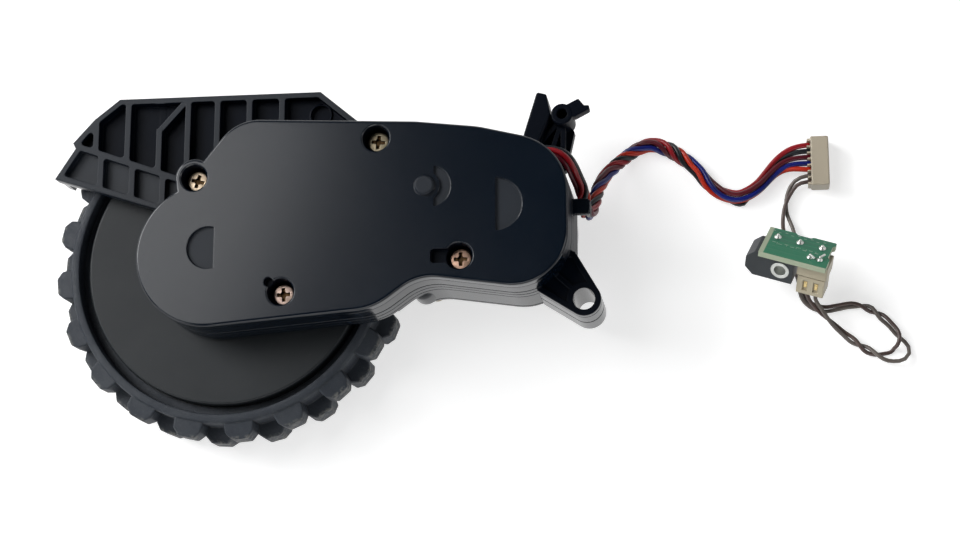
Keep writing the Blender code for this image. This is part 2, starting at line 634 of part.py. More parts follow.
def build_cover(mats):
    low = PARTING_Z + GAP / 2.0
    cover = as_object("gearbox_cover", prism(OUTLINE, low, COVER_TOP_Z))
    edge = cover.modifiers.new("edge", "BEVEL")
    edge.width = COVER_EDGE * MM
    edge.segments = 2
    edge.limit_method = "WEIGHT"
    weights = cover.data.attributes.new("bevel_weight_edge", "FLOAT", "EDGE")
    for line in cover.data.edges:
        if all(cover.data.vertices[v].co.z > (COVER_TOP_Z - 0.1) * MM for v in line.vertices):
            weights.data[line.index].value = 1.0
    settle(cover)
    cut(cover, [prism(ROOM, low - 1.0, ROOF_Z)])
    seat_z = COVER_TOP_Z - WELL_DEPTH
    shapes = []
    for place in COVER_SCREWS:
        shapes.append(rod(WELL_RADIUS + WELL_WALL, low + GAP / 2.0, ROOF_Z + 0.5, 16, place))
    for place in GEAR_AXES:
        shapes.append(rod(PIN_RADIUS + 1.2, LEVELS[2] + GEAR_FACE + GAP, ROOF_Z + 0.5, 11, place))
    bearing = JOURNAL_RADIUS + GAP + BUSH_WALL + GAP
    shapes.append(rod(bearing + 1.2, LEVELS[2] + 0.6, ROOF_Z + 0.5, 14))
    shapes.append(rod(2.0, ROOF_Z + 0.5, COVER_TOP_Z + 0.8, 20, BOSS_AXIS))
    join(cover, shapes)
    holes = []
    for place in COVER_SCREWS:
        holes.append(rod(WELL_RADIUS, seat_z, COVER_TOP_Z + 1.0, 16, place))
        holes.append(rod(SCREW_RADIUS + GAP, low - 1.0, seat_z + 1.0, 9, place))
    for place in GEAR_AXES:
        holes.append(rod(PIN_RADIUS + GAP, LEVELS[2], ROOF_Z + 0.9, 9, place))
    holes.append(rod(bearing, LEVELS[2], ROOF_Z, 14))
    recess = COVER_TOP_Z - 0.5
    holes.append(prism(half_disc(WHEEL_AXIS, 4.4, 1.55, -1), recess, COVER_TOP_Z + 1.0))
    holes.append(prism(half_disc(MOTOR_AXIS, 5.6, 0.0, 1), recess, COVER_TOP_Z + 1.0))
    holes.append(prism(half_disc(BOSS_AXIS, 5.3, 2.3, 1), recess, COVER_TOP_Z + 1.0))
    notch = polar(COVER_SCREWS[2], WELL_RADIUS + 0.5, 140.0)
    holes.append(rod(0.9, COVER_TOP_Z - 1.2, COVER_TOP_Z + 1.0, 12, notch))
    slot = COVER_SCREWS[3]
    holes.append(box((6.0, 3.0, 2.0), (slot[0] - 2.9, slot[1] + 0.3, COVER_TOP_Z - 0.2)))
    cut(cover, holes)
    return finish(planed(cover), mats["casing"])


def build_cap(mats):
    """Lid under the motor with the cup that holds the motor's rear end."""
    high = LID_Z + LID_THICKNESS
    cup = MOTOR_RADIUS + 2.0 * GAP + CUP_WALL
    lid = as_object("motor_cap", prism(OUTLINE, LID_Z, high))
    cut(lid, [rod(WHEEL_ROOM + GAP, LID_Z - 1.0, high + 1.0, 44)])
    join(lid, [rod(cup, 0.0, LID_Z + 0.5, 30, MOTOR_AXIS)])
    join(lid, [rod(BOSS_RADIUS, LID_Z + 0.2, high - 0.2, 16, place) for place in CAP_SCREWS])
    cut(lid, [rod(cup - CUP_WALL, LID_THICKNESS, high + 1.0, 30, MOTOR_AXIS)])
    cut(lid, [rod(SCREW_RADIUS + GAP, LID_Z - 1.0, high + 1.0, 12, place) for place in CAP_SCREWS])
    return finish(lid, mats["casing"])


def screw(name, place, seat, head_radius, head, shank_radius, length, material, upward=True, recess=False):
    """Pan-head cross screw; its head lies on the seat, above it or below it."""
    way = 1.0 if upward else -1.0
    near = seat + way * GAP
    far = seat + way * (GAP + head)
    shoulder = far - way * head * 0.35
    profile = [(0.0, near - way * length), (shank_radius, near - way * length), (shank_radius, near),
               (head_radius, near), (head_radius, shoulder), (head_radius * 0.72, far), (0.0, far)]
    item = as_object(name, turned(profile, 12 if recess else 10, place))
    if recess:
        bars = []
        for turn in (45.0, 135.0):
            a, b = polar(place, head_radius * 0.58, turn), polar(place, head_radius * 0.58, turn + 180.0)
            bars.append(bar(a, b, head_radius * 0.26, far - way * head * 0.55, far + way * 1.0))
        cut(item, bars)
    return finish(item, material)


def build_screws(mats):
    seat = COVER_TOP_Z - WELL_DEPTH
    for i, place in enumerate(COVER_SCREWS):
        screw(f"cover_screw_{i + 1}", place, seat, SCREW_HEAD_RADIUS, SCREW_HEAD, SCREW_RADIUS, SCREW_LENGTH,
              mats["copper"], recess=True)
    for i, place in enumerate(CAP_SCREWS):
        screw(f"cap_screw_{i + 1}", place, LID_Z, SCREW_HEAD_RADIUS, 1.2, SCREW_RADIUS, CAP_SCREW_LENGTH,
              mats["copper"], upward=False)
    for i, place in enumerate(motor_screw_places()):
        screw(f"motor_screw_{i + 1}", place, DECK_TOP, 1.7, 1.0, SCREW_RADIUS - 0.1, 4.0, mats["steel"])


# Gears

def gear_outline(teeth, module, centre, phase):
    """Four points for each tooth: root, tip, tip, root, with room for free running."""
    pitch = module * teeth / 2.0
    tip = pitch + 0.80 * module
    root = pitch - 1.15 * module
    half = 0.36 * module * math.pi / 2.0
    points = []
    for i in range(teeth):
        middle = phase + 2.0 * math.pi * i / teeth
        for radius, side in ((root, -1), (tip, -1), (tip, 1), (root, 1)):
            width = max(0.12 * module, half + (pitch - radius) * math.tan(math.radians(20.0)))
            angle = middle + side * width / radius
            points.append((centre[0] + radius * math.cos(angle), centre[1] + radius * math.sin(angle)))
    return points


def meshed_phase(driver_axis, driver_teeth, driver_phase, axis, teeth):
    """The turn of a gear whose gap takes the driver's tooth on the line between the axes."""
    line = Vector(axis) - Vector(driver_axis)
    direction = math.atan2(line.y, line.x)
    return direction + math.pi + math.pi / teeth - (driver_phase - direction) * driver_teeth / teeth


def gear_solid(name, axis, parts, bore, material):
    """One moulded gear of one or two toothed parts on a common bore, its origin on its axis."""
    item = None
    for teeth, module, phase, low, high in parts:
        shape = prism(gear_outline(teeth, module, (0.0, 0.0), phase), low, high)
        if item is None:
            item = as_object(name, shape)
        else:
            join(item, [shape])
    lowest = min(part[3] for part in parts)
    highest = max(part[4] for part in parts)
    cut(item, [rod(bore, lowest - 1.0, highest + 1.0, 16)])
    return finish(item, material, (axis[0], axis[1], 0.0), smooth=False)


def build_gears(mats):
    low, mid, top = LEVELS
    third_small = meshed_phase(WHEEL_AXIS, OUTPUT_TEETH, 0.0, THIRD_AXIS, THIRD_TEETH[1])
    second_small = meshed_phase(THIRD_AXIS, THIRD_TEETH[0], 0.0, SECOND_AXIS, SECOND_TEETH[1])
    first_small = meshed_phase(SECOND_AXIS, SECOND_TEETH[0], 0.0, BOSS_AXIS, FIRST_TEETH[1])
    pinion = meshed_phase(BOSS_AXIS, FIRST_TEETH[0], 0.0, MOTOR_AXIS, PINION_TEETH)
    bore = PIN_RADIUS + GAP
    gear_solid("output_gear", WHEEL_AXIS, [(OUTPUT_TEETH, MODULE_SLOW, 0.0, low, low + GEAR_FACE)],
               SHAFT_RADIUS + GAP, mats["acetal"])
    gear_solid("third_gear", THIRD_AXIS,
               [(THIRD_TEETH[0], MODULE_FAST, 0.0, mid, mid + GEAR_FACE),
                (THIRD_TEETH[1], MODULE_SLOW, third_small, low, mid + 0.5)], bore, mats["acetal"])
    gear_solid("second_gear", SECOND_AXIS,
               [(SECOND_TEETH[0], MODULE_FAST, 0.0, top, top + GEAR_FACE),
                (SECOND_TEETH[1], MODULE_FAST, second_small, mid, top + 0.5)], bore, mats["acetal"])
    gear_solid("first_gear", BOSS_AXIS,
               [(FIRST_TEETH[0], MODULE_FAST, 0.0, mid, mid + GEAR_FACE),
                (FIRST_TEETH[1], MODULE_FAST, first_small, mid + GEAR_FACE - 0.5, top + GEAR_FACE)],
               bore, mats["acetal"])
    gear_solid("motor_pinion", MOTOR_AXIS, [(PINION_TEETH, MODULE_FAST, pinion, mid, mid + GEAR_FACE)],
               ROTOR_RADIUS + GAP, mats["brass"])
    pin_top = ROOF_Z + 0.6
    lows = (DECK_Z - 1.5 + GAP, FLOOR_Z + 0.6 + GAP, FLOOR_Z + 0.6 + GAP)
    for i, (axis, start) in enumerate(zip(GEAR_AXES, lows)):
        make(f"gear_pin_{i + 1}", rod(PIN_RADIUS, start, pin_top, 14, axis), mats["steel"])


# Wheel

def flatted(radius, flat, steps=20):
    """A round section with two flats."""
    return [(x, max(-flat, min(flat, y))) for x, y in circle((0.0, 0.0), radius, steps)]


def build_shaft(mats):
    low = 3.0 + GAP
    drive_top = FLOOR_Z - 3.0
    shoulder = LEVELS[0] + GEAR_FACE + GAP / 2.0
    shaft = as_object("output_shaft", rod(SHAFT_RADIUS, drive_top - 0.5, shoulder, 20))
    join(shaft, [prism(flatted(SHAFT_RADIUS, SHAFT_FLAT), low, drive_top),
                 rod(JOURNAL_RADIUS, shoulder - 1.0, ROOF_Z - GAP, 16)])
    cut(shaft, [rod(SCREW_RADIUS + GAP, low - 1.0, low + 7.0, 12)])
    finish(shaft, mats["steel"])
    bore = SHAFT_RADIUS + GAP
    ring = bore + BUSH_WALL
    flange = LEVELS[0] - GAP
    profile = [(bore, FLOOR_Z + 0.1), (ring, FLOOR_Z + 0.1), (ring, FLOOR_TOP + GAP), (ring + 0.9, FLOOR_TOP + GAP),
               (ring + 0.9, flange), (bore, flange)]
    make("lower_bush", turned(profile, 14), mats["bronze"])
    upper = JOURNAL_RADIUS + GAP
    make("upper_bush", tube(upper + BUSH_WALL, upper, LEVELS[2] + 0.6 + GAP, ROOF_Z - GAP, 14), mats["bronze"])


def build_hub(mats):
    rim = TYRE_SEAT_RADIUS - GAP
    inner = HUB_DISC_RADIUS - HUB_WALL
    under = HUB_FACE_Z - HUB_WALL
    step = TYRE_WIDTH - 3.7
    profile = [(HUB_BOSS_RADIUS, 3.0), (HUB_BOSS_RADIUS, under), (inner, under),
               (inner, 1.5), (rim, 1.5), (rim, step), (HUB_DISC_RADIUS, step), (HUB_DISC_RADIUS, HUB_FACE_Z),
               (4.6, HUB_FACE_Z), (4.6, FLOOR_Z - 0.6), (2.0, FLOOR_Z - 0.6), (2.0, 3.0)]
    hub = as_object("wheel_hub", turned(profile, 38))
    ribs = []
    for i in range(HUB_RIBS):
        turn = 360.0 * i / HUB_RIBS
        ribs.append(bar(polar(WHEEL_AXIS, HUB_BOSS_RADIUS - 1.0, turn), polar(WHEEL_AXIS, inner + 0.8, turn), 1.5,
                        HUB_CAP_THICKNESS + 5.0, under + 0.5))
    join(hub, ribs)
    drive_top = FLOOR_Z - 3.0
    cut(hub, [prism(flatted(SHAFT_RADIUS + GAP, SHAFT_FLAT + GAP), 2.0, drive_top),
              rod(SHAFT_RADIUS + GAP, drive_top - 0.5 - GAP, FLOOR_Z, 20)])
    finish(hub, mats["hub"])
    skirt = HUB_BOSS_RADIUS + GAP
    profile = [(0.0, 0.0), (HUB_CAP_RADIUS - 0.6, 0.0), (HUB_CAP_RADIUS, 0.6), (HUB_CAP_RADIUS, HUB_CAP_THICKNESS),
               (skirt + 1.1, HUB_CAP_THICKNESS), (skirt + 1.1, 5.4), (skirt, 5.4), (skirt, HUB_CAP_THICKNESS),
               (0.0, HUB_CAP_THICKNESS)]
    make("hub_cap", turned(profile, 32), mats["hub"])
    screw("wheel_screw", WHEEL_AXIS, 3.0, 2.6, 1.0, SCREW_RADIUS, 6.0, mats["steel"], upward=False)


def lug(turn, low, high, lower_chamfer):
    """One tread block, tapered in plan, with chamfered ends."""
    base = TYRE_RADIUS - TREAD_DEPTH - 0.6
    half = LUG_LENGTH / 2.0
    plan = [(base, -half), (TYRE_RADIUS, -half * 0.72), (TYRE_RADIUS, half * 0.72), (base, half)]
    shape = prism(plan, low, high)
    for vert in shape.verts:
        if vert.co.x > (TYRE_RADIUS - 0.5) * MM:
            if vert.co.z > (high - 0.1) * MM:
                vert.co.z -= 0.5 * MM
            elif lower_chamfer:
                vert.co.z += 1.6 * MM
    bmesh.ops.rotate(shape, verts=shape.verts, cent=(0.0, 0.0, 0.0), matrix=Matrix.Rotation(turn, 3, "Z"))
    return shape


def build_tyre(mats):
    base = TYRE_RADIUS - TREAD_DEPTH
    top = TYRE_WIDTH
    step = TYRE_WIDTH - 3.4
    profile = [(TYRE_SEAT_RADIUS, 1.2), (GROOVE_RADIUS, 0.0), (base - 0.8, 0.0), (base, 0.8), (base, top - 0.9),
               (base - 0.9, top), (GROOVE_RADIUS, top), (GROOVE_RADIUS, step), (TYRE_SEAT_RADIUS, step)]
    tyre = as_object("tyre", turned(profile, LUG_COUNT * 2))
    pitch = 2.0 * math.pi / LUG_COUNT
    middle = TYRE_WIDTH * 0.6
    first = math.radians(190.3)
    upper = [lug(first + i * pitch, middle - 0.2, top - 0.5, False) for i in range(LUG_COUNT)]
    lower = [lug(first + (i + 0.5) * pitch, 1.2, middle, True) for i in range(LUG_COUNT)]
    join(tyre, [merged(upper), merged(lower)])
    return finish(planed(tyre), mats["rubber"], smooth=False)


# Motor

def build_motor(mats):
    top = DECK_Z - GAP
    low = top - MOTOR_LENGTH
    bore = ROTOR_RADIUS + GAP
    nose = DECK_TOP - GAP
    profile = [(bore, low), (MOTOR_RADIUS - 0.6, low), (MOTOR_RADIUS, low + 0.6), (MOTOR_RADIUS, top - 0.6),
               (MOTOR_RADIUS - 0.6, top), (MOTOR_BOSS_RADIUS, top), (MOTOR_BOSS_RADIUS, nose), (bore, nose)]
    can = as_object("motor_can", turned(profile, 24, MOTOR_AXIS))
    cut(can, [rod(SCREW_RADIUS + GAP, top - 3.0, top + 1.0, 12, place) for place in motor_screw_places()])
    finish(can, mats["steel"])
    bell_top = low - GAP
    make("motor_end_bell", tube(MOTOR_RADIUS - 1.2, bore, bell_top - 0.8, bell_top, 24, MOTOR_AXIS), mats["black"])
    board_top = LID_THICKNESS + GAP + 0.8
    for i, angle in enumerate((20.0, 200.0)):
        x, y = polar(MOTOR_AXIS, MOTOR_RADIUS - 3.0, angle)
        middle = (board_top + bell_top - 0.8) / 2.0
        make(f"motor_terminal_{i + 1}", box((0.4, 2.0, bell_top - 0.8 - board_top - 2.0 * GAP), (x, y, middle)),
             mats["brass"], smooth=False)
        x, y = polar(MOTOR_AXIS, MAGNET_RADIUS + 1.9, angle + 70.0)
        make(f"hall_sensor_{i + 1}", box((2.2, 1.6, 1.0), (x, y, board_top + GAP + 0.5)), mats["black"], smooth=False)
    make("encoder_board", rod(MOTOR_RADIUS - 1.0, LID_THICKNESS + GAP, board_top, 24, MOTOR_AXIS), mats["board"])
    shaft_low = board_top + GAP
    make("rotor_shaft", rod(ROTOR_RADIUS, shaft_low, LEVELS[1] + GEAR_FACE + 0.4, 14), mats["steel"],
         (MOTOR_AXIS[0], MOTOR_AXIS[1], 0.0))
    make("encoder_magnet", tube(MAGNET_RADIUS, bore, shaft_low, bell_top - 0.8 - GAP, 18), mats["ferrite"],
         (MOTOR_AXIS[0], MOTOR_AXIS[1], 0.0))


# Harness, lead, plugs and switch board

def smooth_route(points, spacing):
    """Evenly spaced points of a smooth curve through a route."""
    fine = []
    ends = [Vector(points[0]) * 2 - Vector(points[1]), Vector(points[-1]) * 2 - Vector(points[-2])]
    knots = [ends[0]] + [Vector(p) for p in points] + [ends[1]]
    for a, b, c, d in zip(knots[:-3], knots[1:-2], knots[2:-1], knots[3:]):
        for i in range(10):
            t = i / 10.0
            fine.append(((b * 2) + (c - a) * t + (a * 2 - b * 5 + c * 4 - d) * t ** 2
                         + (b * 3 - a - c * 3 + d) * t ** 3) / 2.0)
    fine.append(knots[-2])
    total = sum((q - p).length for p, q in zip(fine, fine[1:]))
    count = round(total / spacing)
    marks = [total * i / count for i in range(count + 1)]
    result, walked, index = [], 0.0, 0
    for mark in marks:
        while index < len(fine) - 2 and walked + (fine[index + 1] - fine[index]).length < mark:
            walked += (fine[index + 1] - fine[index]).length
            index += 1
        step = (fine[index + 1] - fine[index]).length
        result.append(fine[index].lerp(fine[index + 1], min(1.0, (mark - walked) / step)))
    return result


def cord(name, points, radius, material):
    curve = bpy.data.curves.new(name, "CURVE")
    curve.dimensions = "3D"
    curve.bevel_depth = radius * MM
    curve.bevel_resolution = 2
    curve.use_fill_caps = True
    spline = curve.splines.new("POLY")
    spline.points.add(len(points) - 1)
    for target, point in zip(spline.points, points):
        target.co = (*(point * MM), 1.0)
    curve.materials.append(material)
    item = bpy.data.objects.new(name, curve)
    bpy.context.scene.collection.objects.link(item)
    return item


def harness_points():
    """From the notch round the casing corner, under the wire hook and out to the plug."""
    run = []
    for radius, angle, drop in CORD_RUN:
        x, y = polar(CORD_CORNER, radius, angle)
        run.append((x, y, CORD_RUN_Z - drop))
    return smooth_route(run + list(HARNESS_ROUTE), 2.8 * HARNESS_RADIUS)


def build_cords(mats):
    cord("motor_harness", harness_points(), HARNESS_RADIUS, mats["red"])
    lead = smooth_route(LEAD_ROUTE[:-1], 3.0 * LEAD_RADIUS) + [Vector(LEAD_ROUTE[-1])]
    cord("switch_lead", lead, LEAD_RADIUS, mats["brown"])
    middle = [PLUG_CORNER[i] + PLUG_SIZE[i] / 2.0 for i in range(2)] + [PLUG_SIZE[2] / 2.0]
    plug = as_object("harness_plug", box(PLUG_SIZE, middle))
    soften(plug, 0.35, 1)
    finish(plug, mats["cream"], smooth=False)


def board_frame():
    """Where the loose switch board lies, tilted on its own lead."""
    turn = Matrix.Rotation(math.radians(BOARD_TURN), 4, "Z")
    roll = Matrix.Rotation(math.radians(BOARD_ROLL), 4, "Y")
    tilt = Matrix.Rotation(math.radians(-BOARD_TILT), 4, "X")
    return Matrix.Translation(Vector(BOARD_CENTRE) * MM) @ turn @ roll @ tilt


def build_switch(mats):
    """Board, micro switch, header and plug, all on one tilted frame."""
    frame = bpy.data.objects.new("board_frame", None)
    frame.matrix_world = board_frame()
    bpy.context.scene.collection.objects.link(frame)
    under = -BOARD_SIZE[2] / 2.0 - GAP
    pieces = [make("switch_board", box(BOARD_SIZE, (0.0, 0.0, 0.0)), mats["board"], smooth=False)]

    long, wide, tall = SWITCH_SIZE
    chamfer = SWITCH_CHAMFER
    left, right = SWITCH_X - long / 2.0, SWITCH_X + long / 2.0
    side = [(left + chamfer, under), (left, under - chamfer), (left, under - tall + chamfer),
            (left + chamfer, under - tall), (right, under - tall), (right, under)]
    switch = as_object("switch_body", across(side, -wide / 2.0, wide / 2.0))
    eyelet_place = (SWITCH_X + 0.6, 0.0, under - tall * 0.52)
    upright = Matrix.Translation(Vector(eyelet_place) * MM) @ Matrix.Rotation(math.pi / 2.0, 4, "X")
    hole = rod(EYELET_RADIUS + GAP, -wide, wide, 16)
    bmesh.ops.transform(hole, matrix=upright, verts=hole.verts)
    slot_x = left + 2.4
    shaft = box((PLUNGER_SIZE[0] + 2 * GAP, PLUNGER_SIZE[1] + 2 * GAP, 3.0), (slot_x, 0.0, under - tall))
    cut(switch, [hole, shaft])
    pieces.append(finish(switch, mats["black"], smooth=False))
    eyelet = tube(EYELET_RADIUS, EYELET_RADIUS - 0.5, -wide / 2.0 - 0.1, wide / 2.0 + 0.1, 16)
    bmesh.ops.transform(eyelet, matrix=upright, verts=eyelet.verts)
    pieces.append(make("switch_eyelet", eyelet, mats["steel"]))
    button = box((PLUNGER_SIZE[0], PLUNGER_SIZE[1], PLUNGER_SIZE[2] + 0.8), (0.0, 0.0, 0.4 - PLUNGER_SIZE[2] / 2.0))
    pieces.append(make("switch_plunger", button, mats["cream"], (slot_x, 0.0, under - tall), smooth=False))
    for i in range(3):
        x = (i - 1) * PIN_PITCH
        top = BOARD_SIZE[2] / 2.0 + GAP
        joint = turned([(0.0, top), (0.75, top), (0.35, top + 0.7), (0.0, top + 0.9)], 10, (x, 1.6))
        pieces.append(make(f"switch_pin_{i + 1}", joint, mats["steel"]))

    hx, hy, hz = HEADER_SIZE
    header = as_object("board_header", box(HEADER_SIZE, (HEADER_X, 0.0, under - hz / 2.0)))
    pieces.append(finish(header, mats["cream"], smooth=False))
    plug_top = under - hz - GAP
    px, py, pz = LEAD_PLUG_SIZE
    plug = as_object("lead_plug", box(LEAD_PLUG_SIZE, (HEADER_X, 0.0, plug_top - pz / 2.0)))
    cut(plug, [box((1.0, 0.8, 2.2), (HEADER_X + s, -py / 2.0, plug_top - pz * 0.5)) for s in (-1.0, 1.0)])
    pieces.append(finish(plug, mats["cream"], smooth=False))
    for piece in pieces:
        piece.parent = frame


def main():
    for item in list(bpy.data.objects):
        bpy.data.objects.remove(item, do_unlink=True)
    mats = palette()
    build_base(mats)
    build_cover(mats)
    build_cap(mats)
    build_screws(mats)
    build_gears(mats)
    build_shaft(mats)
    build_hub(mats)
    build_tyre(mats)
    build_motor(mats)
    build_cords(mats)
    build_switch(mats)


main()
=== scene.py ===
"""Robot vacuum wheel module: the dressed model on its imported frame.

Lengths are millimetres in the part's own frame and MM turns them into metres. The wheel turns about
Z at the origin and lies on its outer face at z = 0; +X runs to the motor, +Y to the mud guard.
"""
import math

import bmesh
import bpy
from mathutils import Matrix, Vector


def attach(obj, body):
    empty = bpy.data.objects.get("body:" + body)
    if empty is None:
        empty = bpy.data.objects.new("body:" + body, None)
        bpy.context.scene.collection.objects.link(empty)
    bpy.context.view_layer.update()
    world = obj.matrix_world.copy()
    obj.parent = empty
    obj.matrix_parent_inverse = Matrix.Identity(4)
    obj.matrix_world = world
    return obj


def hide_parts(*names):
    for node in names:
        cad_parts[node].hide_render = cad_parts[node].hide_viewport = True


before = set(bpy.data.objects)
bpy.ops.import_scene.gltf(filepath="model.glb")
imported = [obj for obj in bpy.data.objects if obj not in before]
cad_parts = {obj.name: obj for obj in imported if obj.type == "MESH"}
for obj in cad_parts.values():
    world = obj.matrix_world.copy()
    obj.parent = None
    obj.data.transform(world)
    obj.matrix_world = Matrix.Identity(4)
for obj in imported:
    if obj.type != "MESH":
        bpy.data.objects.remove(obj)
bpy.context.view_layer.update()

MM = 0.001
GAP = 0.3

# Camera
CAMERA_PLACE = (101.86, -88.04, 388.94)
CAMERA_LOOK = (-0.13200, 0.21998, -0.96653)
CAMERA_UP = (0.02977, 0.97551, 0.21795)
LENS = 75.0
SENSOR = 36.0

# Wheel
TYRE_RADIUS = 35.0
TYRE_WIDTH = 14.0
TREAD_DEPTH = 3.1
LUG_COUNT = 20
LUG_LENGTH = 6.0
FIRST_LUG = 185.7
TYRE_WALL = 2.6
TYRE_SEAT_RADIUS = TYRE_RADIUS - TREAD_DEPTH - TYRE_WALL
GROOVE_RADIUS = TYRE_SEAT_RADIUS + 0.75
HUB_DISC_RADIUS = TYRE_SEAT_RADIUS - 1.15
HUB_FACE_Z = 13.6
HUB_WALL = 1.6
HUB_BOSS_RADIUS = 6.5
HUB_CAP_RADIUS = TYRE_SEAT_RADIUS - 2.0 * GAP
HUB_CAP_THICKNESS = 1.2
WHEEL_ROOM = TYRE_RADIUS + 1.5

# Levels of the casing
LID_Z = 6.4
LID_THICKNESS = 1.2
FLOOR_Z = 15.2
FLOOR_TOP = 16.5
DECK_Z = 18.2
DECK_TOP = 19.4
PARTING_Z = 20.7
COVER_TOP_Z = 27.7
ROOF_Z = 25.9
WALL = 1.6
EAR_TOP_Z = 20.0
FENDER_TOP_Z = 18.5

# Casing outline
LOBE_CENTRE = (0.0, -1.2)
LOBE_RADIUS = 14.2
EAR_ARC_CENTRE = (-3.2, 14.0)
EAR_ARC_RADIUS = 3.75
OUTLINE_CORNERS = (            # x, y, corner radius
    (32.2, -12.75, 12.0),
    (40.8, -6.5, 10.0),
    (69.1, -10.6, 10.4),
    (69.1, 17.9, 11.5),
    (52.0, 22.15, 20.0),
    (40.0, 23.6, 20.0),
    (5.0, 25.4, 9.0),
)
COVER_EDGE = 0.6
BASE_LINES = (16.4, 18.5)      # fine grooves round the base wall
COVER_LINE = 25.1              # fine groove under the cover's rounded edge
BELLY_STEP_X = 39.4            # beside the wheel the belly wall starts higher up
BELLY_STEP_Z = 14.6
COLUMN_FOOT = (39.3, -5.9)     # round foot of the wall, above the second cap screw
COLUMN_RADIUS = 2.4
COLUMN_TOP_Z = 14.8

# Marks in the cover
RECESS_DEPTH = 0.5
WHEEL_MARK_RADIUS = 4.25
MOTOR_MARK_RADIUS = 5.3
CRESCENT_RADIUS = 4.2
CRESCENT_INNER_RADIUS = 2.9
BOSS_MARK_RADIUS = 1.95
BOSS_HEIGHT = 0.8
SLOT_DEPTH = 1.5
NOTCH_ANGLE = 140.0            # the notch beside the third screw
NOTCH_RADIUS = 0.9
NOTCH_DEPTH = 1.3

# Axes
WHEEL_AXIS = (0.0, 0.0)
BOSS_AXIS = (41.9, 10.7)
SECOND_AXIS = (26.0921, 4.0492)
THIRD_AXIS = (12.3171, 6.5491)
MOTOR_AXIS = (55.3235, 6.7238)
MOTOR_RADIUS = 12.0
CUP_WALL = 0.8

# Screws
COVER_SCREWS = ((-3.16, 13.93), (32.39, 20.45), (14.37, -9.04), (48.45, -3.12))
CAP_SCREWS = ((43.2, 18.4), (41.0, -5.4), (65.6, -5.7))
WELL_RADIUS = 2.55
WELL_WALL = 0.8
WELL_SEAT_Z = 22.8
HEAD_RADIUS = 2.1
CAP_HEAD_RADIUS = 1.7
SCREW_RADIUS = 1.1
BOSS_RADIUS = 2.6
SCREW_TONES = ((0.82, 0.66, 0.48), (0.42, 0.36, 0.25), (0.60, 0.45, 0.38), (0.66, 0.42, 0.31))

# Mud guard
FENDER_OUTLINE = ((-34.4, 17.3), (-13.5, 10.5), (-6.0, 4.0), (24.0, 6.0), (30.0, 20.0), (26.8, 27.0),
                  (19.4, 33.2), (-21.6, 33.35), (-26.7, 29.35), (-31.0, 24.6), (-30.4, 23.5))
FENDER_DIVIDER = ((-30.6, 24.1), (-8.0, 16.0))
FENDER_WEB = 1.1
SHALLOW_DEPTH = 1.5
RIB = 1.1
DEEP_RIBS = (-26.2, -19.7, -13.2, -7.4, -1.4, 5.1, 11.7)
BRANCH_RIB = ((-13.2, 26.4), (-7.6, 32.7))
SHALLOW_RIBS = (-25.0, -18.5, -12.2)
FENDER_SOCKET = (19.2, 28.9)
SOCKET_RADIUS = 2.0
GUARD_LIP = (WHEEL_ROOM + 0.4, WHEEL_ROOM + 1.6)
GUARD_LIP_Z = 10.5

# Pivot ear, bracket and hooks
EAR_HOLE = (71.3, -10.4)
EAR_RADIUS = 3.25
EAR_HOLE_RADIUS = 2.1
EAR_ROOTS = ((69.7, -1.2), (62.4, -8.6))
POST_CENTRE = (67.4, 26.2)
POST_RADIUS = 2.1
POST_HOLE_RADIUS = 1.05
HOOK_OUTLINE = ((67.6, 25.4), (70.0, 25.6), (72.7, 27.0), (72.7, 27.8), (71.7, 27.8), (70.6, 29.2),
                (68.2, 28.0))
BRACKET_ROOTS = ((62.4, 20.6), (65.0, 19.0), (67.3, 17.2))    # where the ribs to the post start
HOOK_THICKNESS = 2.6
FIN_OUTLINE = ((59.0, 19.0), (62.0, 19.0), (65.2, 26.4), (64.35, 30.5), (62.5, 31.0), (60.0, 22.9))
WEB_OUTLINE = ((59.0, 19.0), (67.6, 16.0), (69.4, 24.0), (67.4, 27.0), (62.5, 26.5), (60.1, 22.4))
BRACKET_Z = 12.5
BRACKET_RIB_Z = 17.4
BRACKET_WEB = 2.2
HOOK_BLOCK = (68.0, 6.2, 72.6, 9.4)    # left, low, right and high side of the wire hook
HOOK_ROOF_Z = 18.3
HOOK_LIP = 0.9

# Cords: the same routes as the part's own solids
HARNESS_RADIUS = 1.4
CORD_CORNER = (57.6, 8.95)
CORD_RUN = (                   # radius and angle about the corner, drop below the top level
    (10.4, 72.0, 0.0), (11.1, 64.0, 0.0), (12.0, 56.0, 0.0), (12.9, 48.0, 0.0), (13.4, 40.0, 0.1),
    (13.4, 32.0, 0.9), (13.3, 24.0, 2.3),
)
CORD_RUN_Z = 19.1
HARNESS_ROUTE = (
    (70.95, 11.4, 15.3), (71.1, 9.0, 14.2), (71.5, 8.2, 12.0), (72.1, 9.2, 9.9), (72.7, 11.6, 8.4),
    (73.3, 14.4, 7.0), (74.4, 17.1, 5.2), (76.0, 19.5, 3.4), (78.0, 21.6, 2.1), (80.4, 23.5, 1.5),
    (83.3, 24.6, 1.5), (86.7, 23.7, 1.5), (90.1, 21.4, 1.5), (92.9, 18.8, 1.5), (95.0, 15.9, 1.5),
    (97.6, 14.0, 1.5), (100.4, 13.2, 1.5), (103.0, 14.0, 1.5), (105.7, 15.9, 1.5), (108.3, 17.9, 1.5),
    (110.6, 19.6, 1.7), (112.4, 20.3, 2.1), (113.95, 20.4, 2.2),
)
